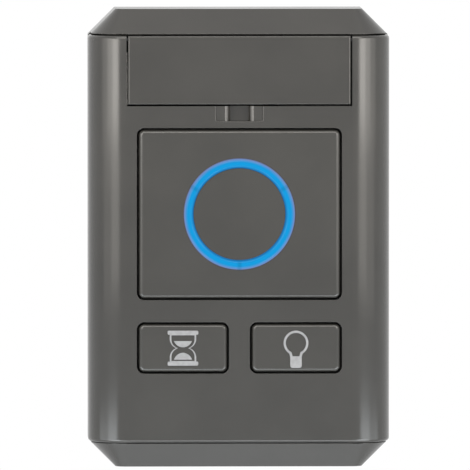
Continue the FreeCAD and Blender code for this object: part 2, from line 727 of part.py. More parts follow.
def legend(label, side, parts):
    """Make a legend that stands a little proud of a small button, from its parts."""
    piece = Piece(label, f"{side} * {SMALL_X}", SMALL_CENTRE)
    for name, outlines in parts:
        piece.add(name, BUTTON_FACE, f"{BUTTON_FACE} + legend_thickness", *outlines)
    return piece


def timer_icon():
    """Make the hourglass legend: two bars, the glass and the sand in it."""
    bar_width, bar_height, bar_place, bar_end = 8.0, 1.06, 4.05, 0.3
    glass, waist, shoulder, stroke = 3.45, 1.75, 2.3, 0.42
    bulge = 2.6
    top = bar_place - bar_height / 4
    outer = polygon(
        (scaled(-glass), scaled(-top)), (scaled(glass), scaled(-top)),
        (scaled(glass), scaled(-shoulder), scaled(bulge)), (scaled(waist), "0", scaled(bulge)),
        (scaled(glass), scaled(shoulder)), (scaled(glass), scaled(top)),
        (scaled(-glass), scaled(top)), (scaled(-glass), scaled(shoulder), scaled(bulge)),
        (scaled(-waist), "0", scaled(bulge)), (scaled(-glass), scaled(-shoulder)),
    )
    wide, narrow, inside = glass - stroke, waist - stroke, bulge - stroke / 2
    inner = polygon(
        (scaled(-wide), scaled(-top + stroke)), (scaled(wide), scaled(-top + stroke)),
        (scaled(wide), scaled(-shoulder), scaled(inside)), (scaled(narrow), "0", scaled(inside)),
        (scaled(wide), scaled(shoulder)), (scaled(wide), scaled(top - stroke)),
        (scaled(-wide), scaled(top - stroke)), (scaled(-wide), scaled(shoulder), scaled(inside)),
        (scaled(-narrow), "0", scaled(inside)), (scaled(-wide), scaled(-shoulder)),
    )
    bars = [rounded("0", scaled(sign * bar_place), scaled(bar_width), scaled(bar_height),
                    scaled(bar_end)) for sign in (1, -1)]
    sand_half, sand_level, sand_low, sand_round = 2.35, 1.85, 0.2, 2.6
    dome_level, dome_top, dome_round = -3.0, -1.2, 2.6
    upper = polygon((scaled(sand_half), scaled(sand_level)), (scaled(-sand_half), scaled(sand_level),
                    scaled(sand_round)), ("0", scaled(sand_low), scaled(sand_round)))
    lower = polygon((scaled(-sand_half), scaled(dome_level)), (scaled(sand_half), scaled(dome_level),
                    scaled(dome_round)), ("0", scaled(dome_top), scaled(dome_round)))
    return legend("timer_icon", LEFT,
                  [("Glass", [outer, inner]), ("Bars", bars), ("Sand", [upper, lower])])


def light_icon():
    """Make the bulb legend: an open globe outline over a filled base."""
    globe, stroke, centre = 3.24, 0.57, 1.3
    foot, neck, base_top, base_low, base_half, base_round = 1.75, 1.45, -2.46, -5.2, 1.5, 0.6

    def globe_outline(radius, half, low, low_half):
        join = centre - (radius ** 2 - half ** 2) ** 0.5
        bend = scaled(-radius)
        return polygon((scaled(-half), scaled(join), bend), (scaled(-radius), scaled(centre), bend),
                       ("0", scaled(centre + radius), bend), (scaled(radius), scaled(centre), bend),
                       (scaled(half), scaled(join)), (scaled(low_half), scaled(low)),
                       (scaled(-low_half), scaled(low)))

    outer = globe_outline(globe, foot, base_top, neck)
    inner = globe_outline(globe - stroke, foot - stroke, base_top + stroke / 2, neck - stroke)
    base = polygon(
        (scaled(-base_half), scaled(base_low + base_round), scaled(base_round)),
        (scaled(base_round - base_half), scaled(base_low)),
        (scaled(base_half - base_round), scaled(base_low), scaled(base_round)),
        (scaled(base_half), scaled(base_low + base_round)),
        (scaled(base_half), scaled(base_top + stroke / 4)),
        (scaled(-base_half), scaled(base_top + stroke / 4)),
    )
    return legend("light_icon", RIGHT, [("Globe", [outer, inner]), ("Base", [base])])


def learn_button():
    """Make the small round button in the bay's panel, with its flange and stem."""
    piece = Piece("learn_button", PANEL_X, LEARN_Z)
    piece.add("Cap", PLUNGER_TIP, f"{PANEL_FRONT} + learn_proud", disc("0", "0", "learn_radius"))
    piece.ease("CapEdge", "learn_edge_radius",
               on_plane("y", f"-({PANEL_FRONT} + learn_proud)"))
    piece.add("Flange", f"{LEARN_STEP} - learn_flange_thickness", LEARN_STEP,
              disc("0", "0", "learn_radius + learn_flange"))
    return piece


def battery_tray():
    """Make the tray behind the flip cover: the cell's trough and the panel beside it."""
    piece = Piece("battery_tray")
    outer = f"({TRAY_HALF} + tray_wall)"
    low, high = f"({BAY_LOW} - tray_wall)", f"({BAY_TOP} + tray_top_wall)"
    piece.add("Trough", WALL_FRONT, TRAY_RIM,
              span(f"-{outer}", low, f"{TROUGH_RIGHT} + tray_wall", high))
    piece.add("Panel", PANEL_BACK, TRAY_RIM, span(TROUGH_RIGHT, low, outer, high))
    piece.cut("Bay", PANEL_FRONT, f"{TRAY_RIM} + tray_wall",
              span(f"-{TRAY_HALF}", BAY_LOW, TRAY_HALF, BAY_TOP))
    piece.cut("CellSpace", f"{WALL_FRONT} + tray_wall", f"{TRAY_RIM} + tray_wall",
              span(f"-{TRAY_HALF}", BAY_LOW, TROUGH_RIGHT, BAY_TOP))
    piece.add("Well", WALL_BACK, f"{WALL_FRONT} + tray_wall / 2",
              span(f"-{outer}", f"{BAY_CENTRE} - cell_well / 2 - tray_wall",
                   f"{TROUGH_RIGHT} + tray_wall", f"{BAY_CENTRE} + cell_well / 2 + tray_wall"))
    piece.cut("WellSpace", f"{WALL_BACK} + tray_wall", f"{WALL_FRONT} + 2 * tray_wall",
              span(f"-{TRAY_HALF}", f"{BAY_CENTRE} - cell_well / 2", TROUGH_RIGHT,
                   f"{BAY_CENTRE} + cell_well / 2"))
    piece.cut("PanelHoles", PANEL_BACK, PANEL_FRONT,
              disc(PANEL_X, LEARN_Z, "learn_radius + hole_clearance"),
              disc(PANEL_X, LENS_Z, "lens_radius + screw_fit"))
    for name, x in contact_places():
        piece.cut(f"{name}TailSlot", f"{BOARD_FRONT} - hole_clearance",
                  f"{BOARD_FRONT} + tail_width + hole_clearance",
                  box(x, f"{BAY_LOW} - tray_wall / 2",
                      "contact_thickness + 2 * hole_clearance", "tray_wall * 2"))
    return piece


def contact_places():
    """Give the name and the X of the plate of each cell contact."""
    yield "Negative", f"(-{TRAY_HALF} + contact_thickness / 2)"
    yield "Positive", f"({TROUGH_RIGHT} - contact_thickness / 2)"


def contact_plate(label, x):
    """Make a contact's plate with the tail that comes down onto the board."""
    piece = Piece(label)
    low, high = f"{x} - contact_thickness / 2", f"{x} + contact_thickness / 2"
    piece.add("Plate", low, high,
              box(f"-{CELL_LEVEL}", BAY_CENTRE, "contact_width", "contact_width"), view="side")
    tail_front = f"-({BOARD_FRONT} + tail_width)"
    piece.add("Arm", low, high,
              span(tail_front, f"{BAY_CENTRE} - tail_width", f"-{CELL_LEVEL}", BAY_CENTRE),
              view="side")
    piece.add("Tail", low, high,
              span(tail_front, f"{BOARD_TOP} - tail_width", f"-{BOARD_FRONT}", BAY_CENTRE),
              view="side")
    return piece


def negative_contact():
    """Make the contact at the cell's flat end: a bowed leaf on its plate."""
    piece = contact_plate("negative_contact", f"(-{TRAY_HALF} + contact_thickness / 2)")
    foot = f"(-{TRAY_HALF} + contact_thickness)"
    rise = "leaf_height"
    thick = "contact_thickness"
    reach = "(contact_width / 2)"
    level = CELL_LEVEL
    piece.add("Leaf", f"{BAY_CENTRE} - contact_width / 4", f"{BAY_CENTRE} + contact_width / 4",
              polygon(
                  (foot, f"-({level} - {reach})"),
                  (f"{foot} + {rise}", f"-{level} + {thick}"),
                  (f"{foot} + {rise}", f"-{level} - {thick}"),
                  (foot, f"-({level} + {reach})"),
                  (foot, f"-({level} + {reach} - 2 * {thick})"),
                  (f"{foot} + {rise} - {thick}", f"-{level}"),
                  (foot, f"-({level} - {reach} + 2 * {thick})"),
              ), view="top")
    return piece


def positive_contact():
    """Make the contact at the cell's nub: a plate with a pressed dimple."""
    piece = contact_plate("positive_contact", f"({TROUGH_RIGHT} - contact_thickness / 2)")
    piece.add("Dimple", CELL_RIGHT, f"{TROUGH_RIGHT} - contact_thickness",
              disc(f"-{CELL_LEVEL}", BAY_CENTRE, "cell_nub_radius / 2"), view="side")
    return piece


def battery_cell():
    """Make the three-volt cell that lies across the bay."""
    piece = Piece("battery_cell")
    can_end = f"({CELL_RIGHT} - cell_nub_height)"
    piece.add("Can", CELL_LEFT, can_end, disc(f"-{CELL_LEVEL}", BAY_CENTRE, "cell_radius"),
              view="side")
    piece.ease("CanEdges", "cell_edge_radius",
               lambda edge: len(edge.Vertexes) == 1)
    piece.add("Nub", can_end, CELL_RIGHT, disc(f"-{CELL_LEVEL}", BAY_CENTRE, "cell_nub_radius"),
              view="side")
    return piece


def circuit_board():
    """Make the board, which passes beside the trough to carry the bay's button."""
    piece = Piece("circuit_board")
    tab_top = f"({BAY_TOP} - board_clearance)"
    piece.add("Board", BOARD_BACK, BOARD_FRONT, polygon(
        (f"-{BOARD_HALF}", BOARD_LOW),
        (BOARD_HALF, BOARD_LOW),
        (BOARD_HALF, tab_top),
        (TAB_LEFT, tab_top),
        (TAB_LEFT, BOARD_TOP),
        (f"-{BOARD_HALF}", BOARD_TOP),
    ))
    piece.cut("ScrewHoles", BOARD_BACK, BOARD_FRONT,
              *corners(POST_X, POST_LOW, POST_TOP, "board_screw_radius + hole_clearance / 2"))
    return piece


def tactile_switch(label, x, z):
    """Make the case of a tactile switch, with the bore of its plunger."""
    piece = Piece(label, x, z)
    case_front = f"({BOARD_FRONT} + switch_height)"
    piece.add("Case", BOARD_FRONT, case_front, box("0", "0", "switch_side", "switch_side"))
    piece.ease("CaseEdge", "switch_edge", on_plane("y", f"-{case_front}"))
    piece.cut("Bore", f"{case_front} - plunger_in - button_travel - hole_clearance",
              f"{case_front} + hole_clearance", disc("0", "0", "plunger_radius + plunger_fit"))
    return piece


def switch_plunger(label, x, z):
    """Make the plunger of a tactile switch, which a button's post rests on."""
    piece = Piece(label, x, z)
    piece.add("Plunger", f"{BOARD_FRONT} + switch_height - plunger_in", PLUNGER_TIP,
              disc("0", "0", "plunger_radius"))
    return piece


def ring_lamps():
    """Make the three lamps that stand under the light ring's legs."""
    solids = []
    for i, (across, up, _) in enumerate(ring_legs("ring_leg_radius"), start=1):
        lamp = Piece(f"ring_lamps_{i}", "0", MAIN_CENTRE)
        lamp.add("Case", BOARD_FRONT, LAMP_FRONT, box(across, up, "lamp_width", "lamp_depth"))
        solids.append(lamp)
    return part_group("ring_lamps", solids)


def case_screws():
    """Make the four screws that hold the cover to the housing from behind."""
    return screw_set("case_screws", corners(BOSS_X, BOSS_LOW, BOSS_TOP, "case_head_radius"),
                     f"({WALL_BACK} - case_head_height)", WALL_BACK,
                     corners(BOSS_X, BOSS_LOW, BOSS_TOP, "case_screw_radius"),
                     WALL_BACK, f"({WALL_BACK} + case_screw_reach)")


def board_screws():
    """Make the four screws that hold the board to the housing's posts."""
    return screw_set("board_screws", corners(POST_X, POST_LOW, POST_TOP, "board_head_radius"),
                     BOARD_FRONT, f"({BOARD_FRONT} + board_head_height)",
                     corners(POST_X, POST_LOW, POST_TOP, "board_screw_radius"),
                     f"({BOARD_FRONT} - board_screw_reach)", BOARD_FRONT)


def part_group(label, solids):
    """Join separate solids, each from its own body, under one name."""
    group = document.addObject("Part::Compound", label)
    group.Label = label
    group.Links = [solid.body for solid in solids]
    document.recompute()
    return group


def screw_set(label, heads, head_low, head_high, shanks, shank_low, shank_high):
    """Make a set of like screws: each one its own solid, all under one name."""
    solids = []
    for i, (head, shank) in enumerate(zip(heads, shanks), start=1):
        screw = Piece(f"{label}_{i}")
        screw.add("Head", head_low, head_high, head)
        screw.add("Shank", shank_low, shank_high, shank)
        solids.append(screw)
    return part_group(label, solids)


def status_lens():
    """Make the small clear lens in the bay's panel, with its flange behind the panel."""
    piece = Piece("status_lens", PANEL_X, LENS_Z)
    piece.add("Pipe", f"{LAMP_FRONT} + lamp_clearance", f"{PANEL_FRONT} + lens_proud",
              disc("0", "0", "lens_radius"))
    piece.add("Flange", f"{PANEL_BACK} - lens_flange", PANEL_BACK,
              disc("0", "0", "lens_radius + lens_flange"))
    return piece


def board_block(label, x, z, width, length, height, edge=""):
    """Make a plain rectangular part that stands on the board."""
    piece = Piece(label, x, z)
    front = f"({BOARD_FRONT} + {height})"
    piece.add("Case", BOARD_FRONT, front, box("0", "0", width, length))
    if edge:
        piece.ease("CaseEdge", edge, on_plane("y", f"-{front}"))
    return piece


def capacitors():
    """Make the pair of round capacitors beside the radio module."""
    solids = []
    for i in (0, 1):
        can = Piece(f"capacitors_{i + 1}", f"{CAN_X} + capacitor_pitch * {i}", RADIO_Z)
        can.add("Can", BOARD_FRONT, f"{BOARD_FRONT} + capacitor_height",
                disc("0", "0", "capacitor_radius"))
        solids.append(can)
    return part_group("capacitors", solids)


def antenna():
    """Make the strip antenna that stands on two feet along the board's lower edge."""
    piece = Piece("antenna", "0", f"{BOARD_LOW} + antenna_row")
    strip_back = f"({BOARD_FRONT} + antenna_height)"
    piece.add("Strip", strip_back, f"{strip_back} + antenna_thickness",
              box("0", "0", "antenna_width", "antenna_strip"))
    feet = [box(f"-antenna_width / 2 + {place}", "0", "antenna_thickness", "antenna_strip")
            for place in ("antenna_strip / 2", "antenna_strip / 2 + antenna_feet")]
    piece.add("Feet", BOARD_FRONT, f"{strip_back} + antenna_thickness", *feet)
    return piece


SWITCH_PLACES = {
    "main": ("0", MAIN_CENTRE),
    "timer": (f"-{SMALL_X}", SMALL_CENTRE),
    "light": (SMALL_X, SMALL_CENTRE),
    "learn": (PANEL_X, LEARN_Z),
}


def build():
    """Make every sub-part and give them as a list of document objects."""
    pieces = [
        wall_bracket(), rear_housing(), front_cover(), flip_cover(),
        hinge_pin("hinge_pin_left", LEFT), hinge_pin("hinge_pin_right", RIGHT),
        main_button(), ring_light(),
        push_button("timer_button", SMALL_WIDTH, "small_height", f"-{SMALL_X}", SMALL_CENTRE),
        push_button("light_button", SMALL_WIDTH, "small_height", SMALL_X, SMALL_CENTRE),
        timer_icon(), light_icon(), learn_button(),
        battery_tray(), battery_cell(), negative_contact(), positive_contact(),
        circuit_board(), status_lens(), antenna(),
        board_block("microcontroller", CHIP_X, CHIP_Z, "chip_width", "chip_width",
                    "chip_height"),
        board_block("radio_module", "0", RADIO_Z, "radio_width", "radio_length",
                    "radio_height"),
        board_block("crystal", CHIP_X, CRYSTAL_Z, "crystal_width", "crystal_length",
                    "crystal_height", "switch_edge"),
        board_block("status_lamp", PANEL_X, LENS_Z, "lamp_width", "lamp_depth", "lamp_height"),
    ]
    for name, place in SWITCH_PLACES.items():
        pieces.append(tactile_switch(f"{name}_switch", *place))
        pieces.append(switch_plunger(f"{name}_plunger", *place))
    sets = [ring_lamps(), case_screws(), board_screws(), capacitors()]
    return [piece.body for piece in pieces] + sets


def export(parts):
    """Check every object and shape, then write each sub-part to its file."""
    for item in document.Objects:
        if {"Invalid", "Error"} & set(item.State):
            raise ValueError(f"{item.Label} is in state {item.State}")
    for part in parts:
        if part.Shape.isNull() or not part.Shape.isValid() or part.Shape.Volume <= 0:
            raise ValueError(f"{part.Label} has no valid shape")
    os.makedirs("parts", exist_ok=True)
    for part in parts:
        part.Shape.exportStep(f"parts/{part.Label}.step")


document.recompute()
made = build()
document.recompute()
export(made)
print(f"{len(made)} sub-parts written")
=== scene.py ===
import json
import logging
import math
from dataclasses import dataclass
from enum import Enum

import bmesh
import bpy
from mathutils import Matrix, Vector

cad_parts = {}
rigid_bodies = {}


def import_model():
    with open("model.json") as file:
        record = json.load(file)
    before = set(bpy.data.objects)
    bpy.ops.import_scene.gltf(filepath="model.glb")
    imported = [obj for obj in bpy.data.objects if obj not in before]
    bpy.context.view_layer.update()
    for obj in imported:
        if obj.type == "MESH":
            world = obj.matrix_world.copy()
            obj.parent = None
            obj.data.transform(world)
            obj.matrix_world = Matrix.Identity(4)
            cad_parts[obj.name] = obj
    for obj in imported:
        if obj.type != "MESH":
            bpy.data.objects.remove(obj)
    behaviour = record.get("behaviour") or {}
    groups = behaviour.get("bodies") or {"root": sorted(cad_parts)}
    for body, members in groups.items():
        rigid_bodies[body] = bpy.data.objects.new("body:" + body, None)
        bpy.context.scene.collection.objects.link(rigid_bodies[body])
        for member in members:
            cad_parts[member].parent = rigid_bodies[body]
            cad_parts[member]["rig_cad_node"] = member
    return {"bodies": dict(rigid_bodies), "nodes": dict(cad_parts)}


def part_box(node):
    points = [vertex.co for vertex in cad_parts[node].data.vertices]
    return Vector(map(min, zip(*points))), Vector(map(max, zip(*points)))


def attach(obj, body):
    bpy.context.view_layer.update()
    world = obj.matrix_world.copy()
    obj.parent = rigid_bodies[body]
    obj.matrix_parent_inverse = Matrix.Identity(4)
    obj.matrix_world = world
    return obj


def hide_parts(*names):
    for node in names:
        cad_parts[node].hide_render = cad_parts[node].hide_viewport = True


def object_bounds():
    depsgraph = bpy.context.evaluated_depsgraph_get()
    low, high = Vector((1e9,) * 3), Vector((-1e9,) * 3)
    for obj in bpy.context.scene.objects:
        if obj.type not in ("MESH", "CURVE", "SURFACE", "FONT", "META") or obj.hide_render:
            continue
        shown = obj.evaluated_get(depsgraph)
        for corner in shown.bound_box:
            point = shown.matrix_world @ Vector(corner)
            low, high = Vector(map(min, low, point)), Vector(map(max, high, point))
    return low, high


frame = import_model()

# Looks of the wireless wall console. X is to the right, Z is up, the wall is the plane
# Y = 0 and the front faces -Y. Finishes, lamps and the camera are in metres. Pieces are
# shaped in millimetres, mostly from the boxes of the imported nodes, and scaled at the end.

MM = 0.001
# Vertices of a form closer than this, in millimetres, are one
SAME_PLACE = 0.0005
SHARP_ANGLE = math.radians(32)
# The depth that the lamps are aimed at, in metres
AIM_DEPTH = -0.02
# The factor and the two colour inputs of a Mix node, and its colour output
MIX_INPUTS = (0, 6, 7)
MIX_RESULT = 2
LOG = logging.getLogger("wall_console")
Point = tuple[float, float, float]
Colour = tuple[float, float, float]
Verts = list[bmesh.types.BMVert]
Socket = bpy.types.NodeSocket
Material = bpy.types.Material
WARM: Colour = (1.0, 0.96, 0.90)
COOL: Colour = (0.92, 0.97, 1.0)
CASE_COLOUR: Colour = (0.0395, 0.0380, 0.0345)
BUTTON_COLOUR: Colour = (0.0405, 0.0390, 0.0350)
CASE_GLOSS = 0.7


def clear_start_file() -> None:
    """Remove what Blender's start file brings, so that only the frame is left."""
    for thing in list(bpy.data.objects):
        if "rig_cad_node" not in thing and thing not in frame["bodies"].values():
            bpy.data.objects.remove(thing)


clear_start_file()
CAD_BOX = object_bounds()


class Value:
    """A number that varies over a surface, with Python's operators as Math nodes."""

    def __init__(self, tree: "Tree", socket: Socket) -> None:
        """Wrap one output socket of a tree."""
        self.tree = tree
        self.socket = socket

    def math(self, operation: str, *values: "Value | float") -> "Value":
        """Add a Math node.

        Args:
            operation: The node's operation.
            values: Its inputs, in order.

        Returns:
            The node's output.
        """
        node = self.tree.node("ShaderNodeMath", {"operation": operation},
                              dict(enumerate(values)))
        return Value(self.tree, node.outputs[0])

    def __add__(self, other: "Value | float") -> "Value":
        """Add."""
        return self.math("ADD", self, other)

    __radd__ = __add__

    def __sub__(self, other: "Value | float") -> "Value":
        """Subtract the other from this."""
        return self.math("SUBTRACT", self, other)

    def __rsub__(self, other: "Value | float") -> "Value":
        """Subtract this from the other."""
        return self.math("SUBTRACT", other, self)

    def __mul__(self, other: "Value | float") -> "Value":
        """Multiply."""
        return self.math("MULTIPLY", self, other)

    __rmul__ = __mul__

    def __truediv__(self, other: "Value | float") -> "Value":
        """Divide this by the other."""
        return self.math("DIVIDE", self, other)

    def above(self, other: "Value | float") -> "Value":
        """Give 1 where this is more than the other, and 0 elsewhere."""
        return self.math("GREATER_THAN", self, other)

    def below(self, other: "Value | float") -> "Value":
        """Give 1 where this is less than the other, and 0 elsewhere."""
        return self.math("LESS_THAN", self, other)

    def larger(self, other: "Value | float") -> "Value":
        """Give the larger of the two."""
        return self.math("MAXIMUM", self, other)

    def size(self) -> "Value":
        """Give the value without its sign."""
        return self.math("ABSOLUTE", self)

    def root(self) -> "Value":
        """Give the square root."""
        return self.math("SQRT", self)

    def swing(self, width: float) -> "Value":
        """Turn noise of 0 to 1 into a swing of a given width about 0."""
        return (self - 0.5) * width

    def fold(self, pitch: float) -> "Value":
        """Give how far it is from the nearest multiple of a pitch, in pitches."""
        return self.math("PINGPONG", self / pitch, 0.5)

    def smooth(self, low: float, high: float) -> "Value":
        """Rise from 0 to 1, eased at both ends.

        Args:
            low: Where it starts to rise.
            high: Where it reaches 1.

        Returns:
            The eased value.
        """
        settings = {"interpolation_type": "SMOOTHSTEP"}
        node = self.tree.node("ShaderNodeMapRange", settings,
                              {"Value": self, "From Min": low, "From Max": high})
        return Value(self.tree, node.outputs["Result"])


class Tree:
    """A node tree, and the one way to add nodes to it."""

    def __init__(self, tree: bpy.types.NodeTree) -> None:
        """Wrap a tree of Blender's."""
        self.nodes = tree.nodes
        self.links = tree.links

    def node(self, kind: str, settings: dict[str, object] | None = None,
             inputs: dict[str | int, object] | None = None) -> bpy.types.Node:
        """Add a node.

        Args:
            kind: The node's type.
            settings: Its own settings, set first; "stops" are a ramp's (place, colour) pairs.
            inputs: A number, colour or link for each socket, by name or place.

        Returns:
            The new node.
        """
        node = self.nodes.new(kind)
        for name, setting in (settings or {}).items():
            if name == "stops":
                self.set_stops(node.color_ramp, setting)
            else:
                setattr(node, name, setting)
        for name, value in (inputs or {}).items():
            self.feed(node.inputs[name], value)
        return node

    @staticmethod
    def set_stops(ramp: bpy.types.ColorRamp,
                  stops: tuple[tuple[float, Colour], ...]) -> None:
        """Give a colour ramp its stops.

        Args:
            ramp: The ramp.
            stops: The (place, colour) pairs, from 0 to 1.
        """
        while len(ramp.elements) < len(stops):
            ramp.elements.new(1.0)
        for element, (place, colour) in zip(ramp.elements, stops):
            element.position = place
            element.color = (*colour, 1.0)

    def feed(self, socket: Socket, value: object) -> None:
        """Link a value to a socket, or set the socket to it.

        Args:
            socket: The input socket.
            value: A value, an output socket, a colour, a vector or a number.
        """
        if isinstance(value, Value):
            self.links.new(value.socket, socket)
        elif isinstance(value, Socket):
            self.links.new(value, socket)
        elif socket.type == "RGBA":
            socket.default_value = (*value, 1.0)
        else:
            socket.default_value = value


class Shader(Tree):
    """A material with a principled surface, and the patterns that feed it."""

    def __init__(self, name: str) -> None:
        """Start a plain material.

        Args:
            name: The material's name.
        """
        self.material = bpy.data.materials.new(name)
        self.material.use_nodes = True
        super().__init__(self.material.node_tree)
        self.surface = self.nodes["Principled BSDF"]

    def place(self) -> Socket:
        """Give the Object coordinates."""
        return self.node("ShaderNodeTexCoord").outputs["Object"]

    def axes(self, centre: Point = (0.0, 0.0, 0.0)) -> tuple[Value, Value, Value]:
        """Give the place on the surface as three values.

        Args:
            centre: Where they are counted from, in metres.

        Returns:
            X, Y and Z in metres.
        """
        moved = self.node("ShaderNodeVectorMath", {"operation": "SUBTRACT"},
                          {0: self.place(), 1: centre})
        parts = self.node("ShaderNodeSeparateXYZ", None, {0: moved.outputs[0]})
        x, y, z = (Value(self, socket) for socket in parts.outputs)
        return x, y, z

    def noise(self, size: float, detail: float = 2.0, stretch: Point = (1.0, 1.0, 1.0),
              roughness: float = 0.5) -> Value:
        """Give noise of about 0 to 1.

        Args:
            size: The size of its spots, in metres.
            detail: How many finer layers it has.
            stretch: How much longer the spots are along each axis.
            roughness: How strong the finer layers are.

        Returns:
            The noise.
        """
        scaled = self.node("ShaderNodeMapping", None, {
            "Vector": self.place(), "Scale": tuple(1 / (size * long) for long in stretch)})
        node = self.node("ShaderNodeTexNoise", {"noise_dimensions": "3D"}, {
            "Vector": scaled.outputs[0], "Scale": 1.0, "Detail": detail,
            "Roughness": roughness})
        return Value(self, node.outputs[0])

    def cells(self, size: float) -> Value:
        """Give small round grains.

        Args:
            size: The size of a grain, in metres.

        Returns:
            The distance from the middle of the nearest grain, in grain sizes.
        """
        node = self.node("ShaderNodeTexVoronoi", {"feature": "F1"},
                         {"Vector": self.place(), "Scale": 1 / size})
        return Value(self, node.outputs["Distance"])

    def mix(self, share: Value | float, first: object, second: object) -> Socket:
        """Mix two colours.

        Args:
            share: How much of the second there is.
            first: A colour or a link.
            second: A colour or a link.

        Returns:
            The mixed colour.
        """
        node = self.node("ShaderNodeMix", {"data_type": "RGBA"})
        for place, value in zip(MIX_INPUTS, (share, first, second)):
            self.feed(node.inputs[place], value)
        return node.outputs[MIX_RESULT]

    def set(self, **values: object) -> None:
        """Set or link the surface's sockets, named with _ for a space."""
        for name, value in values.items():
            self.feed(self.surface.inputs[name.replace("_", " ")], value)

    def bump(self, height: Value, depth: float) -> None:
        """Raise the surface with bump.

        Args:
            height: A height of 0 to 1.
            depth: What a height of 1 stands for, in metres.
        """
        node = self.node("ShaderNodeBump", None,
                         {"Height": height * depth, "Strength": 1.0, "Distance": 1.0})
        self.set(Normal=node.outputs[0])


@dataclass(frozen=True)
class GapShade:
    """The zone of the narrow gaps round the push buttons, painted near black as painted shade,
    as such gaps stay black in soft light.
    """

    front: float
    fade: float = 0.3 * MM
    half_width: float = 28.4 * MM
    top: float = 30.6 * MM
    # The painted shade of the gaps, near black
    colour: Colour = (0.003, 0.003, 0.003)
    roughness: float = 0.7

    def share(self, shader: Shader) -> Value:
        """Mark the zone.

        Args:
            shader: The material that it is in.

        Returns:
            1 inside the zone and 0 outside.
        """
        x, y, z = shader.axes()
        deep = y.smooth(self.front, self.front + self.fade)
        return deep * x.size().below(self.half_width) * z.below(self.top)


@dataclass(frozen=True)
class Finish:
    """A finish, which makes its material and paints it in its own way."""

    name: str

    def build(self) -> Material:
        """Make the material.

        Returns:
            The material.
        """
        shader = Shader(self.name)
        self.paint(shader)
        return shader.material

    def paint(self, shader: Shader) -> None:
        """Set the surface, which each kind of finish does."""
        raise NotImplementedError


@dataclass(frozen=True)
class MouldedPlastic(Finish):
    """Satin moulded plastic with the fine grain of an eroded tool."""

    colour: Colour
    roughness: float = 0.20
    grain: float = 0.16 * MM
    grain_depth: float = 0.006 * MM
    pit_ratio: float = 2.2
    pit_share: float = 0.3
    tone: float = 0.12
    cloud: float = 22 * MM
    flow: float = 5 * MM
    flow_stretch: Point = (1.0, 1.0, 4.0)
    specks: float = 0.35
    gloss: float = 0.5
    gap: GapShade | None = None

    def paint(self, shader: Shader) -> None:
        """Set the surface.

        Args:
            shader: The material.
        """
        grain = shader.noise(self.grain, 3.0, roughness=0.6)
        pits = shader.cells(self.grain * self.pit_ratio)
        cloud = shader.noise(self.cloud, 3.0)
        flow = shader.noise(self.flow, 2.0, self.flow_stretch)
        lighter = tuple(min(1.0, part * (1 + self.tone)) for part in self.colour)
        darker = tuple(part * (1 - self.tone) for part in self.colour)
        tone = shader.mix(cloud.smooth(0.25, 0.75), darker, lighter)
        speck = grain.swing(0.5) + flow.swing(0.2)
        colour = shader.mix(speck.size() * self.specks, tone, lighter)
        roughness = self.roughness + cloud.swing(0.1) + grain.swing(0.12)
        # Painted shade: the narrow gaps round the buttons are mixed to near black and made
        # rougher
        if self.gap:
            inside = self.gap.share(shader)
            colour = shader.mix(inside, colour, self.gap.colour)
            roughness = roughness + inside * self.gap.roughness
        shader.set(Base_Color=colour, Roughness=roughness, Specular_IOR_Level=self.gloss)
        shader.bump(grain * (1 - self.pit_share) + pits * self.pit_share, self.grain_depth)


@dataclass(frozen=True)
class PrintedInk(Finish):
    """Pale ink of the printed legends, a little uneven like a pad print."""

    colour: Colour
    roughness: float = 0.5
    grain: float = 0.12 * MM
    grain_depth: float = 0.004 * MM
    patch: float = 1.2 * MM
    thin: float = 0.86

    def paint(self, shader: Shader) -> None:
        """Set the surface.

        Args:
            shader: The material.
        """
        grain = shader.noise(self.grain, 3.0)
        patch = shader.noise(self.patch, 2.0)
        thin = tuple(part * self.thin for part in self.colour)
        shader.set(Base_Color=shader.mix(patch.smooth(0.35, 0.6), thin, self.colour),
                   Roughness=self.roughness + grain.swing(0.15))
        shader.bump(grain, self.grain_depth)


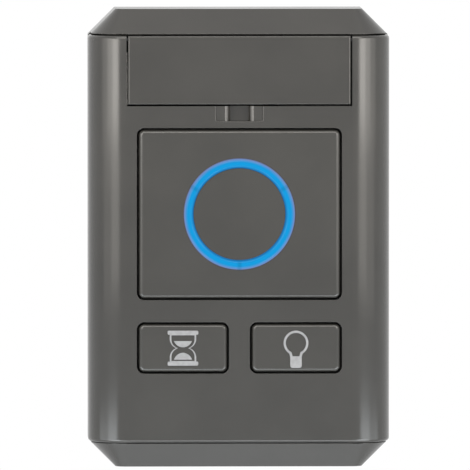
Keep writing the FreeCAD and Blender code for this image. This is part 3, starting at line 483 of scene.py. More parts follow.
@dataclass(frozen=True)
class LightGuide(Finish):
    """The lit ring: a bright blue core, paler at its outer flank, partly as painted reflection,
    and dim at three feeds.
    """

    centre: Point
    radius: float
    width: float
    feeds: tuple[float, ...] = (-90.0, 30.0, 150.0)
    # The ring's own blue glow across its width, from the inner to the outer edge; the paler
    # outer stops are partly painted reflection, and the dim stops at both ends are painted shade
    # where the ring meets its groove
    across: tuple[tuple[float, Colour], ...] = (
        (0.00, (0.020, 0.120, 0.300)),
        (0.12, (0.005, 0.200, 0.480)),
        (0.26, (0.000, 0.290, 0.650)),
        (0.42, (0.000, 0.320, 0.690)),
        (0.60, (0.000, 0.300, 0.655)),
        (0.75, (0.040, 0.270, 0.590)),
        (0.86, (0.130, 0.260, 0.540)),
        (0.94, (0.170, 0.220, 0.400)),
        (1.00, (0.100, 0.110, 0.190)),
    )
    shade: Colour = (0.0, 0.17, 0.36)
    shade_share: float = 0.45
    feed_core: float = 0.1 * MM
    feed_reach: float = 0.9 * MM
    body: Colour = (0.002, 0.02, 0.06)
    flow: float = 3 * MM
    flow_depth: float = 0.03 * MM

    def glow(self, shader: Shader, reach: Value) -> Socket:
        """Colour the light across the ring, from its inner to its outer edge, with painted shade
        at both edges and partly painted reflection on the outer flank.

        Args:
            shader: The ring's material.
            reach: The distance from the middle of the ring.

        Returns:
            The light's colour.
        """
        place = (reach - self.radius) / self.width + 0.5
        ramp = shader.node("ShaderNodeValToRGB", {"stops": self.across}, {0: place})
        return ramp.outputs["Color"]

    def joints(self, x: Value, z: Value) -> Value:
        """Mark the places where the feeds join the ring.

        Args:
            x: How far to the right of the ring's middle.
            z: How far above it.

        Returns:
            1 on the feeds, and 0 elsewhere.
        """
        dim: Value | float = 0.0
        for angle in self.feeds:
            turn = math.radians(angle)
            near = x * math.cos(turn) + z * math.sin(turn)
            side = (x * math.sin(turn) - z * math.cos(turn)).size()
            away = side.smooth(self.feed_core, self.feed_reach)
            dim = (1.0 - away) * near.above(0.0) + dim
        return dim

    def paint(self, shader: Shader) -> None:
        """Set the surface.

        Args:
            shader: The material.
        """
        x, _, z = shader.axes(self.centre)
        glow = self.glow(shader, (x * x + z * z).root())
        glow = shader.mix(self.joints(x, z) * self.shade_share, glow, self.shade)
        flow = shader.noise(self.flow, 2.0)
        shader.set(Base_Color=self.body, Roughness=0.10 + flow * 0.08, IOR=1.5,
                   Emission_Color=glow, Emission_Strength=1.0, Specular_IOR_Level=0.10)
        shader.bump(flow, self.flow_depth)


@dataclass(frozen=True)
class ClearPlastic(Finish):
    """Clear plastic of the small status lens."""

    colour: Colour
    clear: float = 0.85
    flow: float = 1.5 * MM
    flow_depth: float = 0.01 * MM

    def paint(self, shader: Shader) -> None:
        """Set the surface.

        Args:
            shader: The material.
        """
        flow = shader.noise(self.flow, 2.0)
        shader.set(Base_Color=self.colour, Roughness=0.06 + flow * 0.08, IOR=1.49,
                   Transmission_Weight=self.clear)
        shader.bump(flow, self.flow_depth)


@dataclass(frozen=True)
class RolledMetal(Finish):
    """Metal with fine drawn or turned lines along one axis."""

    colour: Colour
    roughness: float = 0.3
    stretch: Point = (20.0, 1.0, 1.0)
    line: float = 0.08 * MM
    line_depth: float = 0.003 * MM
    cloud: float = 3 * MM
    stain: float = 0.3

    def paint(self, shader: Shader) -> None:
        """Set the surface.

        Args:
            shader: The material.
        """
        lines = shader.noise(self.line, 3.0, self.stretch)
        cloud = shader.noise(self.cloud, 3.0)
        dull = tuple(part * (1 - self.stain) for part in self.colour)
        shader.set(Base_Color=shader.mix(cloud.smooth(0.3, 0.7), dull, self.colour),
                   Metallic=1.0,
                   Roughness=self.roughness + lines.swing(0.2) + cloud.swing(0.12))
        shader.bump(lines, self.line_depth)


@dataclass(frozen=True)
class BoardLaminate(Finish):
    """Board laminate under solder mask, with faint tracks beneath it."""

    colour: Colour = (0.012, 0.10, 0.045)
    track: Colour = (0.03, 0.19, 0.08)
    pitch: float = 1.6 * MM
    width: float = 0.14
    block: float = 9 * MM
    weave: float = 0.3 * MM
    relief: float = 0.02 * MM

    def paint(self, shader: Shader) -> None:
        """Set the surface.

        Args:
            shader: The material.
        """
        x, _, z = shader.axes()
        blocks = shader.noise(self.block, 0.0)
        rows = z.fold(self.pitch).below(self.width) * blocks.above(0.5)
        columns = x.fold(self.pitch).below(self.width) * blocks.below(0.5)
        line = rows + columns
        weave = shader.noise(self.weave, 2.0)
        colour = shader.mix(line, self.colour, self.track)
        shader.set(Base_Color=colour, Roughness=0.32 + weave * 0.12)
        shader.bump(line * 0.8 + weave * 0.2, self.relief)


@dataclass(frozen=True)
class CellSleeve(Finish):
    """Shrunk printed sleeve of the cell: a plain dark wrap with a lighter positive end."""

    band_from: float
    band_to: float
    wrap: Colour = (0.02, 0.028, 0.06)
    band: Colour = (0.62, 0.30, 0.05)
    steel: Colour = (0.62, 0.62, 0.60)
    crease: float = 2 * MM
    crease_stretch: Point = (6.0, 1.0, 1.0)
    crease_depth: float = 0.05 * MM

    def paint(self, shader: Shader) -> None:
        """Set the surface.

        Args:
            shader: The material.
        """
        x, _, _ = shader.axes()
        crease = shader.noise(self.crease, 2.0, self.crease_stretch)
        colour = shader.mix(x.above(self.band_from), self.wrap, self.band)
        bare = x.above(self.band_to)
        shader.set(Base_Color=shader.mix(bare, colour, self.steel), Metallic=bare,
                   Roughness=0.28 + crease * 0.14)
        shader.bump(crease, self.crease_depth)


class Hand(Enum):
    """The two sides of the console, as seen from the room."""

    LEFT = -1
    RIGHT = 1


class Legend(Enum):
    """The printed legends of the small buttons, by the start of their nodes' names."""

    HOURGLASS = "timer"
    BULB = "light"


class Facing(Enum):
    """The way that a screw's head faces, along Y."""

    ROOM = -1
    WALL = 1


class Form:
    """A mesh in the making, in millimetres, shaped with bmesh operators."""

    def __init__(self) -> None:
        """Start an empty mesh."""
        self.mesh = bmesh.new()

    def block(self, low: Point, high: Point, bevel: float = 0.0) -> None:
        """Add a block between two corners.

        Args:
            low: Its lowest corner.
            high: Its highest corner.
            bevel: The width of its bevels.
        """
        verts = bmesh.ops.create_cube(self.mesh, size=1.0)["verts"]
        size = [b - a for a, b in zip(low, high)]
        centre = [(a + b) / 2 for a, b in zip(low, high)]
        bmesh.ops.scale(self.mesh, vec=size, verts=verts)
        bmesh.ops.translate(self.mesh, vec=centre, verts=verts)
        if bevel:
            edges = dict.fromkeys(edge for vert in verts for edge in vert.link_edges)
            bmesh.ops.bevel(self.mesh, geom=list(edges), offset=bevel, segments=2, profile=0.5,
                            affect="EDGES", material=-1)

    def turned(self, profile: list[tuple[float, float]], place: Point, turn: Matrix,
               steps: int) -> Verts:
        """Add a turned shape.

        Args:
            profile: Its (radius, height) points, from one end to the other.
            place: Where its axis starts.
            turn: What turns its axis from Z to its own direction.
            steps: How many sides it has.

        Returns:
            Its vertices.
        """
        before = set(self.mesh.verts)
        points = [self.mesh.verts.new((radius, 0.0, height)) for radius, height in profile]
        edges = [self.mesh.edges.new(pair) for pair in zip(points, points[1:])]
        bmesh.ops.spin(self.mesh, geom=points + edges, cent=(0.0, 0.0, 0.0),
                       axis=(0.0, 0.0, 1.0), dvec=(0.0, 0.0, 0.0), angle=2 * math.pi,
                       steps=steps, use_merge=True, use_duplicate=False)
        made = [vert for vert in self.mesh.verts if vert not in before]
        bmesh.ops.remove_doubles(self.mesh, verts=made, dist=SAME_PLACE)
        made = [vert for vert in self.mesh.verts if vert not in before]
        bmesh.ops.transform(self.mesh, matrix=Matrix.Translation(place) @ turn, verts=made)
        return made

    def finish(self, name: str, material: Material) -> bpy.types.Object:
        """Turn the form into an object with its place in its mesh.

        Args:
            name: The object's name.
            material: Its finish.

        Returns:
            The object.
        """
        bmesh.ops.recalc_face_normals(self.mesh, faces=self.mesh.faces)
        bmesh.ops.scale(self.mesh, vec=(MM, MM, MM), verts=self.mesh.verts)
        mesh = bpy.data.meshes.new(name)
        self.mesh.to_mesh(mesh)
        self.mesh.free()
        mesh.shade_smooth()
        mesh.set_sharp_from_angle(angle=SHARP_ANGLE)
        mesh.materials.append(material)
        thing = bpy.data.objects.new(name, mesh)
        bpy.context.scene.collection.objects.link(thing)
        return thing


@dataclass(frozen=True)
class Screw:
    """A pan-head screw with a cross recess and a thread, in millimetres."""

    head_radius: float
    head_height: float
    reach: float
    shaft_radius: float = 1.0
    head_edge: float = 0.5
    root: float = 0.76
    pitch: float = 0.9
    thread: tuple[float, float, float] = (0.3, -0.1, -0.35)
    edge_steps: int = 5
    recess_reach: float = 1.25
    recess_half_width: float = 0.28
    recess_depth: float = 0.85
    recess_taper: float = 0.72
    sides: int = 32

    def outline(self) -> list[tuple[float, float]]:
        """Draw half of its outline.

        Returns:
            The (radius, height) points from the head's top to the tip.
        """
        edge = self.head_edge
        points = [(self.head_radius - edge * (1 - math.sin(angle)),
                   self.head_height - edge * (1 - math.cos(angle)))
                  for angle in (math.radians(90 * step / self.edge_steps)
                                for step in range(self.edge_steps + 1))]
        points += [(self.head_radius, 0.0), (self.shaft_radius, 0.0)]
        core = self.shaft_radius * self.root
        for turn in range(int((self.reach - 2 * self.pitch) / self.pitch)):
            level = -self.pitch * (turn + 1)
            points += [(radius, level + part * self.pitch) for radius, part
                       in zip((core, core, self.shaft_radius), self.thread)]
        return points + [(core, -self.reach + self.shaft_radius), (0.0, -self.reach)]

    def sink_recess(self, form: Form, verts: Verts) -> None:
        """Close the head's open top and sink the cross recess into it.

        Args:
            form: The form that the screw is in, upright at its origin.
            verts: The screw's vertices.
        """
        rim = dict.fromkeys(edge for vert in verts for edge in vert.link_edges
                            if edge.is_boundary)
        top = bmesh.ops.holes_fill(form.mesh, edges=list(rim), sides=0)["faces"]
        reach, half = self.recess_reach, self.recess_half_width
        for normal in ((1.0, 0.0, 0.0), (0.0, 1.0, 0.0)):
            for offset in (-reach, -half, half, reach):
                geom = dict.fromkeys(part for face in top
                                     for part in (face, *face.edges, *face.verts))
                place = tuple(part * offset for part in normal)
                cut = bmesh.ops.bisect_plane(form.mesh, geom=list(geom), dist=SAME_PLACE,
                                             plane_co=place, plane_no=normal)["geom"]
                top = [part for part in cut if isinstance(part, bmesh.types.BMFace)]
        cross = []
        for face in top:
            middle = face.calc_center_median()
            across, along = sorted((abs(middle.x), abs(middle.y)))
            if across < half and along < reach:
                cross.append(face)
        sunk = bmesh.ops.extrude_face_region(form.mesh, geom=cross)["geom"]
        bmesh.ops.delete(form.mesh, geom=cross, context="FACES_ONLY")
        deep = [part for part in sunk if isinstance(part, bmesh.types.BMVert)]
        bmesh.ops.scale(form.mesh, vec=(self.recess_taper, self.recess_taper, 1.0), verts=deep)
        bmesh.ops.translate(form.mesh, vec=(0.0, 0.0, -self.recess_depth), verts=deep)

    def add_to(self, form: Form, place: Point, facing: Facing) -> None:
        """Add one screw.

        Args:
            form: The form that gets it.
            place: The middle of its seat, in millimetres.
            facing: The way that its head faces.
        """
        upright = Matrix.Identity(4)
        verts = form.turned(self.outline(), (0.0, 0.0, 0.0), upright, self.sides)
        before = set(form.mesh.verts) - set(verts)
        self.sink_recess(form, verts)
        made = [vert for vert in form.mesh.verts if vert not in before]
        turn = Matrix.Rotation(-facing.value * math.pi / 2, 4, "X")
        bmesh.ops.transform(form.mesh, matrix=Matrix.Translation(place) @ turn, verts=made)


@dataclass(frozen=True)
class Finishes:
    """Every finish of the console, each made once."""

    case: Material
    cover: Material
    button: Material
    bracket: Material
    tray: Material
    black: Material
    pale: Material
    amber: Material
    ink: Material
    lens: Material
    dark_steel: Material
    zinc: Material
    nickel: Material
    can: Material
    board: Material

    @classmethod
    def make(cls) -> "Finishes":
        """Make all the materials.

        Returns:
            The set of them.
        """
        along_z = (1.0, 1.0, 20.0)
        # The zones of painted shade in the gaps behind the cover's face and the buttons' faces
        cover_gap, button_gap = GapShade(-26.8 * MM), GapShade(-26.4 * MM)
        return cls(
            case=MouldedPlastic("case_finish", CASE_COLOUR, gloss=CASE_GLOSS).build(),
            cover=MouldedPlastic("cover_finish", CASE_COLOUR, gloss=CASE_GLOSS,
                                 gap=cover_gap).build(),
            button=MouldedPlastic("button_finish", BUTTON_COLOUR, gloss=CASE_GLOSS,
                                  gap=button_gap).build(),
            bracket=MouldedPlastic("bracket_finish", (0.050, 0.049, 0.047), 0.48).build(),
            tray=MouldedPlastic("tray_finish", (0.030, 0.030, 0.030), 0.48).build(),
            black=MouldedPlastic("black_finish", (0.016, 0.016, 0.017), 0.38).build(),
            pale=MouldedPlastic("pale_finish", (0.72, 0.71, 0.66), 0.36).build(),
            amber=MouldedPlastic("learn_finish", (0.72, 0.42, 0.04), 0.32).build(),
            ink=PrintedInk("legend_ink", (0.40, 0.40, 0.41)).build(),
            lens=ClearPlastic("lens_finish", (0.86, 0.90, 0.94)).build(),
            dark_steel=RolledMetal("pin_finish", (0.045, 0.045, 0.047), 0.45).build(),
            zinc=RolledMetal("screw_finish", (0.56, 0.57, 0.58), 0.30).build(),
            nickel=RolledMetal("contact_finish", (0.72, 0.70, 0.65), 0.24, along_z).build(),
            can=RolledMetal("can_finish", (0.66, 0.66, 0.67), 0.34, along_z).build(),
            board=BoardLaminate("board_finish").build(),
        )


@dataclass
class SubAssembly:
    """A part of the console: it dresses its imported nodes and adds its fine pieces."""

    finishes: Finishes

    @staticmethod
    def dress(material: Material, *nodes: str) -> None:
        """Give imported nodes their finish.

        Args:
            material: The finish.
            nodes: The nodes' names.
        """
        for node in nodes:
            for slot in frame["nodes"][node].material_slots:
                slot.material = material
            LOG.info("dressed %s in %s", node, material.name)

    @staticmethod
    def corners(node: str) -> tuple[Vector, Vector]:
        """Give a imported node's lowest and highest corner, in millimetres."""
        low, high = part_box(node)
        return low / MM, high / MM

    @staticmethod
    def add(name: str, form: Form, material: Material, body: str, slot: str,
            *replaced: str) -> None:
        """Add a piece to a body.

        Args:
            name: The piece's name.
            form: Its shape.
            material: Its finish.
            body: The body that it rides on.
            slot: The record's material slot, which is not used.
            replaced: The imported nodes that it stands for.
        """
        piece = form.finish(name, material)
        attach(piece, body)
        if replaced:
            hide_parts(*replaced)
        LOG.info("built %s with %d faces on %s", name, len(piece.data.polygons), body)


@dataclass
class CaseShells(SubAssembly):
    """The rear housing with its two end caps, and the front cover."""

    wall: float = 2.0
    sunk: float = 0.1
    lip_thickness: float = 0.9
    lip_depths: tuple[float, float] = (-10.4, -7.5)
    lip_reach: float = 52.0

    def build_lips(self) -> None:
        """Stand a lip behind each side seam, so that no light passes through the case."""
        low, high = self.corners("rear_housing")
        outer, inner = self.wall - self.sunk, self.wall + self.lip_thickness
        front, back = self.lip_depths
        form = Form()
        for start, end in ((low.x + outer, low.x + inner), (high.x - inner, high.x - outer)):
            form.block((start, front, -self.lip_reach), (end, back, self.lip_reach))
        self.add("seam_lips", form, self.finishes.case, "console", "case_plastic")

    def build(self) -> None:
        """Dress both shells and stand the lips behind their seams."""
        self.dress(self.finishes.case, "rear_housing")
        self.dress(self.finishes.cover, "front_cover")
        self.build_lips()


@dataclass
class WallBracket(SubAssembly):
    """The hooked plate that is screwed to the wall."""

    def build(self) -> None:
        """Dress the plate."""
        self.dress(self.finishes.bracket, "wall_bracket")


@dataclass
class FlipCover(SubAssembly):
    """The flap over the cell bay, with ribs and cell marks on its inner face."""

    rib_height: float = 0.75
    rib_width: float = 0.8
    rib_inset: float = 2.6
    rib_bevel: float = 0.15
    top_inset: float = 4.2
    middle_ribs: tuple[float, ...] = (-9.0, 13.0)
    mark_height: float = 0.3
    mark_size: float = 3.0
    mark_width: float = 0.7
    mark_places: tuple[float, float] = (-19.0, 2.5)
    sunk: float = 0.1

    def rib(self, form: Form, low: tuple[float, float], high: tuple[float, float],
            height: float) -> None:
        """Raise a rib or a mark on the inner face.

        Args:
            form: The form that gets it.
            low: Its lower left (x, z) corner.
            high: Its upper right (x, z) corner.
            height: How far it stands out.
        """
        face = self.corners("flip_cover")[1].y
        form.block((low[0], face - self.sunk, low[1]), (high[0], face + height, high[1]),
                   self.rib_bevel)

    def build_ribs(self) -> None:
        """Raise the frame and the middle ribs."""
        low, high = self.corners("flip_cover")
        left, right = low.x + self.rib_inset, high.x - self.rib_inset
        foot, head = low.z + self.rib_inset, high.z - self.top_inset
        wide = self.rib_width
        form = Form()
        for level in (foot, head - wide):
            self.rib(form, (left, level), (right, level + wide), self.rib_height)
        for x in (left, right - wide, *self.middle_ribs):
            self.rib(form, (x, foot), (x + wide, head), self.rib_height)
        self.add("flip_cover_ribs", form, self.finishes.case, "flip_cover", "case_plastic")

    def build_marks(self) -> None:
        """Raise a minus mark and a plus mark over the ends of the cell."""
        low, high = self.corners("flip_cover")
        middle = (low.z + high.z) / 2
        reach, half = self.mark_size / 2, self.mark_width / 2
        form = Form()
        for x in self.mark_places:
            self.rib(form, (x - reach, middle - half), (x + reach, middle + half),
                     self.mark_height)
        x = self.mark_places[1]
        self.rib(form, (x - half, middle - reach), (x + half, middle + reach), self.mark_height)
        self.add("flip_cover_marks", form, self.finishes.case, "flip_cover", "case_plastic")

    def build(self) -> None:
        """Dress the flap and its pins, and build its inner face."""
        self.dress(self.finishes.case, "flip_cover")
        self.dress(self.finishes.dark_steel, "hinge_pin_left", "hinge_pin_right")
        self.build_ribs()
        self.build_marks()


@dataclass
class LargeButton(SubAssembly):
    """The large push button and the lit ring in its face."""

    ring_width: float = 2.6

    def build(self) -> None:
        """Dress the button, the ring and the plunger behind them."""
        low, high = self.corners("ring_light")
        centre = (low + high) / 2 * MM
        ring = LightGuide("ring_finish", (centre.x, 0.0, centre.z),
                          (high.x - low.x - self.ring_width) / 2 * MM, self.ring_width * MM)
        self.dress(self.finishes.button, "main_button")
        self.dress(ring.build(), "ring_light")
        self.dress(self.finishes.pale, "main_plunger")


@dataclass
class SmallButton(SubAssembly):
    """A small push button with its printed legend."""

    legend: Legend

    def build(self) -> None:
        """Dress the button, its legend and the plunger behind it."""
        name = self.legend.value
        self.dress(self.finishes.button, f"{name}_button")
        self.dress(self.finishes.ink, f"{name}_icon")
        self.dress(self.finishes.pale, f"{name}_plunger")


@dataclass
class CellBay(SubAssembly):
    """The bay under the flip cover: the tray, the cell, the contacts and the learn button."""

    nub_height: float = 1.4
    washer_outer: float = 6.6
    washer_inner: float = 3.7
    washer_thickness: float = 0.35
    washer_ease: float = 0.3
    washer_sides: int = 56
    sunk: float = 0.1
    band: float = 7.0
    band_margin: float = 0.05

    def build_washer(self) -> None:
        """Lay the pale ring round the cell's positive end."""
        low, high = self.corners("battery_cell")
        place = (high.x - self.nub_height, (low.y + high.y) / 2, (low.z + high.z) / 2)
        outer, inner, thick = self.washer_outer, self.washer_inner, self.washer_thickness
        ease, foot = thick * self.washer_ease, -self.sunk
        profile = [(inner, foot), (inner, thick - ease), (inner + ease, thick),
                   (outer - ease, thick), (outer, thick - ease), (outer, foot), (inner, foot)]
        form = Form()
        turn = Matrix.Rotation(math.pi / 2, 4, "Y")
        form.turned(profile, place, turn, self.washer_sides)
        self.add("cell_washer", form, self.finishes.pale, "console", "cell_sleeve")

    def build(self) -> None:
        """Dress the bay and add the washer."""
        cell_end = self.corners("battery_cell")[1].x - self.nub_height
        sleeve = CellSleeve("sleeve_finish", (cell_end - self.band) * MM,
                            (cell_end - self.band_margin) * MM)
        self.dress(self.finishes.tray, "battery_tray")
        self.dress(sleeve.build(), "battery_cell")
        self.dress(self.finishes.nickel, "negative_contact", "positive_contact")
        self.dress(self.finishes.lens, "status_lens")
        self.dress(self.finishes.amber, "learn_button")
        self.dress(self.finishes.pale, "learn_plunger")
        self.build_washer()


@dataclass
class ControlBoard(SubAssembly):
    """The circuit board with its switches, lamps, radio and small parts."""

    part_size: Point = (1.6, 0.5, 0.8)
    part_pitch: tuple[float, float] = (3.6, 2.6)
    part_columns: int = 5
    part_rows: int = 3
    part_bevel: float = 0.06
    body_share: float = 0.3
    cap_share: float = 0.28
    parts_inner: float = 6.0
    parts_low: float = 19.0
    lead_length: float = 0.9
    lead_width: float = 0.32
    lead_thickness: float = 0.25
    lead_bevel: float = 0.05
    lead_pitch: float = 0.8
    leads_per_side: int = 7
    pad_radius: float = 0.7
    pad_height: float = 0.06
    pad_sunk: float = 0.05
    pad_sides: int = 20
    pads_per_side: int = 5
    pad_pitch: float = 2.4
    pad_rise: float = 3.0

    def build_parts(self) -> None:
        """Set the rows of small parts on both sides of the board's upper half."""
        face = self.corners("circuit_board")[0].y
        long, proud, tall = self.part_size
        half = long * self.body_share
        bodies, caps = Form(), Form()
        for hand in Hand:
            for row in range(self.part_rows):
                for column in range(self.part_columns):
                    x = hand.value * (self.parts_inner + column * self.part_pitch[0])
                    z = self.parts_low + row * self.part_pitch[1]
                    foot, head = z - tall / 2, z + tall / 2
                    bodies.block((x - half, face - proud, foot), (x + half, face, head),
                                 self.part_bevel)
                    for side in (-1, 1):
                        ends = sorted((x + side * long * self.cap_share, x + side * long / 2))
                        caps.block((ends[0], face - proud, foot), (ends[1], face, head),
                                   self.part_bevel)
        self.add("board_small_parts", bodies, self.finishes.black, "console", "chip_epoxy")
        self.add("board_part_ends", caps, self.finishes.can, "console", "shield_metal")

    def build_leads(self) -> None:
        """Set the leads round the microcontroller."""
        low, high = self.corners("microcontroller")
        back, half, bevel = high.y, self.lead_width / 2, self.lead_bevel
        front = back - self.lead_thickness
        middle = (low + high) / 2
        form = Form()
        for index in range(self.leads_per_side):
            shift = (index - (self.leads_per_side - 1) / 2) * self.lead_pitch
            x, z = middle.x + shift, middle.z + shift
            for side, edge in ((-1, low), (1, high)):
                left, right = sorted((edge.x, edge.x + side * self.lead_length))
                foot, head = sorted((edge.z, edge.z + side * self.lead_length))
                form.block((left, front, z - half), (right, back, z + half), bevel)
                form.block((x - half, front, foot), (x + half, back, head), bevel)
        self.add("microcontroller_leads", form, self.finishes.nickel, "console",
                 "contact_metal")

    def build_pads(self) -> None:
        """Lay a row of round test pads near the board's lower end."""
        front = self.corners("circuit_board")[0].y
        level = self.corners("antenna")[1].z + self.pad_rise
        radius, height, foot = self.pad_radius, self.pad_height, -self.pad_sunk
        profile = [(0.0, height), (radius, height), (radius, foot), (0.0, foot)]
        turn = Matrix.Rotation(math.pi / 2, 4, "X")
        form = Form()
        for hand in Hand:
            for index in range(self.pads_per_side):
                x = hand.value * (self.pad_pitch / 2 + index * self.pad_pitch)
                form.turned(profile, (x, front, level), turn, self.pad_sides)
        self.add("board_test_pads", form, self.finishes.nickel, "console", "contact_metal")

    def build(self) -> None:
        """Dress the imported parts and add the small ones."""
        finishes = self.finishes
        self.dress(finishes.board, "circuit_board")
        self.dress(finishes.black, "microcontroller", "main_switch", "timer_switch",
                   "light_switch", "learn_switch")
        self.dress(finishes.can, "radio_module", "crystal", "capacitors")
        self.dress(finishes.nickel, "antenna")
        self.dress(finishes.pale, "status_lamp", "ring_lamps")
        self.build_parts()
        self.build_leads()
        self.build_pads()


@dataclass
class Fasteners(SubAssembly):
    """The four case screws and the four board screws."""

    case_screw: Screw = Screw(head_radius=2.3, head_height=1.5, reach=10.0)
    board_screw: Screw = Screw(head_radius=2.0, head_height=1.3, reach=6.0, head_edge=0.4,
                               recess_reach=1.1)

    def build_set(self, node: str, name: str, screw: Screw, facing: Facing) -> None:
        """Build a set of four screws in place of their node.

        Args:
            node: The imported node.
            name: The new piece's name.
            screw: The screw.
            facing: The way that the heads face.
        """
        low, high = self.corners(node)
        inset = screw.head_radius
        seat = high.y - screw.head_height if facing is Facing.WALL else low.y + screw.head_height
        form = Form()
        for x in (low.x + inset, high.x - inset):
            for z in (low.z + inset, high.z - inset):
                screw.add_to(form, (x, seat, z), facing)
        self.add(name, form, self.finishes.zinc, "console", "screw_steel", node)

    def build(self) -> None:
        """Build both sets."""
        self.build_set("case_screws", "case_screw_set", self.case_screw, Facing.WALL)
        self.build_set("board_screws", "board_screw_set", self.board_screw, Facing.ROOM)


@dataclass(frozen=True)
class SoftBox:
    """A rectangular lamp beside, above or below the console, in metres and watts."""

    name: str
    place: Point
    aim: float
    width: float
    height: float
    power: float
    colour: Colour

    def hang(self) -> None:
        """Add the lamp to the scene, aimed at a height of the console."""
        lamp = bpy.data.lights.new(self.name, "AREA")
        lamp.shape = "RECTANGLE"
        lamp.size, lamp.size_y = self.width, self.height
        lamp.energy = self.power
        lamp.color = self.colour
        panel = bpy.data.objects.new(self.name, lamp)
        way = Vector((0.0, AIM_DEPTH, self.aim)) - Vector(self.place)
        facing = way.to_track_quat("-Z", "Y").to_matrix().to_4x4()
        panel.matrix_world = Matrix.Translation(self.place) @ facing
        bpy.context.scene.collection.objects.link(panel)


@dataclass(frozen=True)
class SidePair:
    """Two upright soft boxes at the same angle on both sides of the console."""

    name: str
    angle: float
    level: float
    width: float
    height: float
    power: float
    reach: float
    colour: Colour

    def hang(self) -> None:
        """Add both lamps."""
        aside = math.radians(self.angle)
        depth = AIM_DEPTH - self.reach * math.cos(aside)
        for hand in Hand:
            place = (hand.value * self.reach * math.sin(aside), depth, self.level)
            SoftBox(f"{hand.name.lower()}_{self.name}", place, self.level, self.width,
                    self.height, self.power, self.colour).hang()


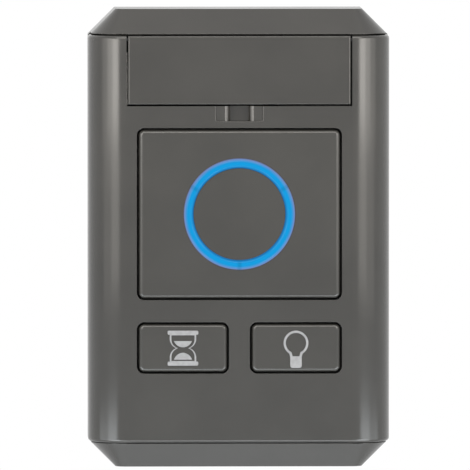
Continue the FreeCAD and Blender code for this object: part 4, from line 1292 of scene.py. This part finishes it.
@dataclass
class Studio:
    """Plain soft light, the pale floor and the camera at the photograph's angle."""

    # Name, angle in degrees, level, width, height, power, reach and colour
    side_pairs: tuple[SidePair, ...] = (
        SidePair("strip", 42.0, 0.067, 0.040, 0.09, 0.060, 0.14, WARM),
        SidePair("shoulder", 57.0, 0.067, 0.034, 0.09, 0.027, 0.14, WARM),
        SidePair("wing", 71.0, 0.067, 0.034, 0.09, 0.010, 0.14, WARM),
        SidePair("middle_strip", 42.0, 0.0, 0.050, 0.04, 0.010, 0.14, WARM),
        SidePair("middle_wing", 62.0, 0.0, 0.060, 0.05, 0.006, 0.14, WARM),
        SidePair("low_strip", 50.0, -0.080, 0.060, 0.05, 0.038, 0.14, COOL),
        SidePair("low_wing", 74.0, -0.080, 0.060, 0.05, 0.017, 0.14, COOL),
        SidePair("foot_wing", 45.0, -0.16, 0.100, 0.05, 0.130, 0.16, COOL),
    )
    # Name, place, aim, width, height, power and colour
    panels: tuple[SoftBox, ...] = (
        SoftBox("top_panel", (0.0, -0.10, 0.75), 0.0, 0.7, 0.5, 0.22, WARM),
        SoftBox("high_panel", (0.0, -0.30, 0.70), 0.0, 0.6, 0.15, 0.4, WARM),
        SoftBox("brow", (0.0, -0.15, 0.20), 0.02, 0.24, 0.03, 0.17, WARM),
        SoftBox("low_panel", (0.0, -0.06, -0.45), 0.0, 0.7, 0.25, 0.26, COOL),
        SoftBox("chin", (0.0, -0.13, -0.17), -0.05, 0.20, 0.03, 0.11, COOL),
    )
    floor_level: float = -1.6
    floor_size: float = 8.0
    floor_colours: tuple[Colour, Colour] = ((0.86, 0.86, 0.85), (0.92, 0.92, 0.91))
    floor_cloud: float = 0.4
    floor_roughness: float = 0.7
    surroundings: float = 0.12
    background: float = 1.0
    distance: float = 3.2
    across: float = -0.0793
    up: float = 0.1572
    frame_width: float = 0.1226
    target: tuple[float, float] = (-0.00119, 0.00115)
    sensor: float = 36.0
    clip: tuple[float, float] = (0.05, 30.0)
    white: Colour = (1.0, 1.0, 1.0)

    @staticmethod
    def mix_background(tree: Tree, soft: Socket, seen: Socket) -> Socket:
        """Let camera, glossy and transmission rays see one shader, and the light another.

        Args:
            tree: The node tree.
            soft: What lights the console.
            seen: What those rays see.

        Returns:
            The mixed shader.
        """
        path = tree.node("ShaderNodeLightPath").outputs
        share = Value(tree, path["Is Camera Ray"])
        for ray in ("Is Glossy Ray", "Is Transmission Ray"):
            share = share.larger(Value(tree, path[ray]))
        return tree.node("ShaderNodeMixShader", None, {0: share, 1: soft, 2: seen}).outputs[0]

    def build_world(self) -> None:
        """Set the even surrounding light, and the white that is seen behind the console."""
        world = bpy.data.worlds.new("surroundings")
        bpy.context.scene.world = world
        world.use_nodes = True
        tree = Tree(world.node_tree)
        tree.nodes.remove(tree.nodes["Background"])
        soft, seen = (tree.node("ShaderNodeBackground", None,
                                {"Color": self.white, "Strength": strength}).outputs[0]
                      for strength in (self.surroundings, self.background))
        tree.feed(tree.nodes["World Output"].inputs["Surface"],
                  self.mix_background(tree, soft, seen))

    def build_floor(self) -> None:
        """Lay the pale floor far below, as under a console that hangs on a wall."""
        shader = Shader("pale_floor")
        cloud = shader.noise(self.floor_cloud, 2.0)
        shader.set(Base_Color=shader.mix(cloud, *self.floor_colours),
                   Roughness=self.floor_roughness)
        glow = shader.node("ShaderNodeEmission", None,
                           {"Color": self.white, "Strength": self.background})
        shader.feed(shader.nodes["Material Output"].inputs["Surface"],
                    self.mix_background(shader, shader.surface.outputs[0], glow.outputs[0]))
        form = Form()
        bmesh.ops.create_grid(form.mesh, x_segments=1, y_segments=1,
                              size=self.floor_size / 2 / MM)
        bmesh.ops.translate(form.mesh, verts=form.mesh.verts,
                            vec=(0.0, 0.0, self.floor_level / MM))
        form.finish("floor", shader.material)

    def build_camera(self) -> None:
        """Set the camera a little above and to the left, with a long lens."""
        lens = bpy.data.cameras.new("camera")
        lens.sensor_width = self.sensor
        lens.lens = self.sensor * self.distance / self.frame_width
        lens.clip_start, lens.clip_end = self.clip
        camera = bpy.data.objects.new("camera", lens)
        front = CAD_BOX[0].y
        place = Vector((self.across, front - self.distance, self.up))
        look = (Vector((self.target[0], front, self.target[1])) - place).to_track_quat("-Z", "Y")
        camera.matrix_world = Matrix.Translation(place) @ look.to_matrix().to_4x4()
        bpy.context.scene.collection.objects.link(camera)
        bpy.context.scene.camera = camera

    def build(self) -> None:
        """Build the light, the floor and the camera."""
        bpy.context.scene.view_settings.view_transform = "Standard"
        for lamp in (*self.side_pairs, *self.panels):
            lamp.hang()
        self.build_world()
        self.build_floor()
        self.build_camera()
        LOG.info("built the studio")


def main() -> None:
    """Build the studio and every sub-assembly in order."""
    Studio().build()
    finishes = Finishes.make()
    assemblies = (
        CaseShells(finishes),
        WallBracket(finishes),
        FlipCover(finishes),
        LargeButton(finishes),
        SmallButton(finishes, Legend.HOURGLASS),
        SmallButton(finishes, Legend.BULB),
        CellBay(finishes),
        ControlBoard(finishes),
        Fasteners(finishes),
    )
    for assembly in assemblies:
        assembly.build()


if __name__ == "__main__":
    logging.basicConfig(level=logging.INFO, format="%(message)s")
    main()
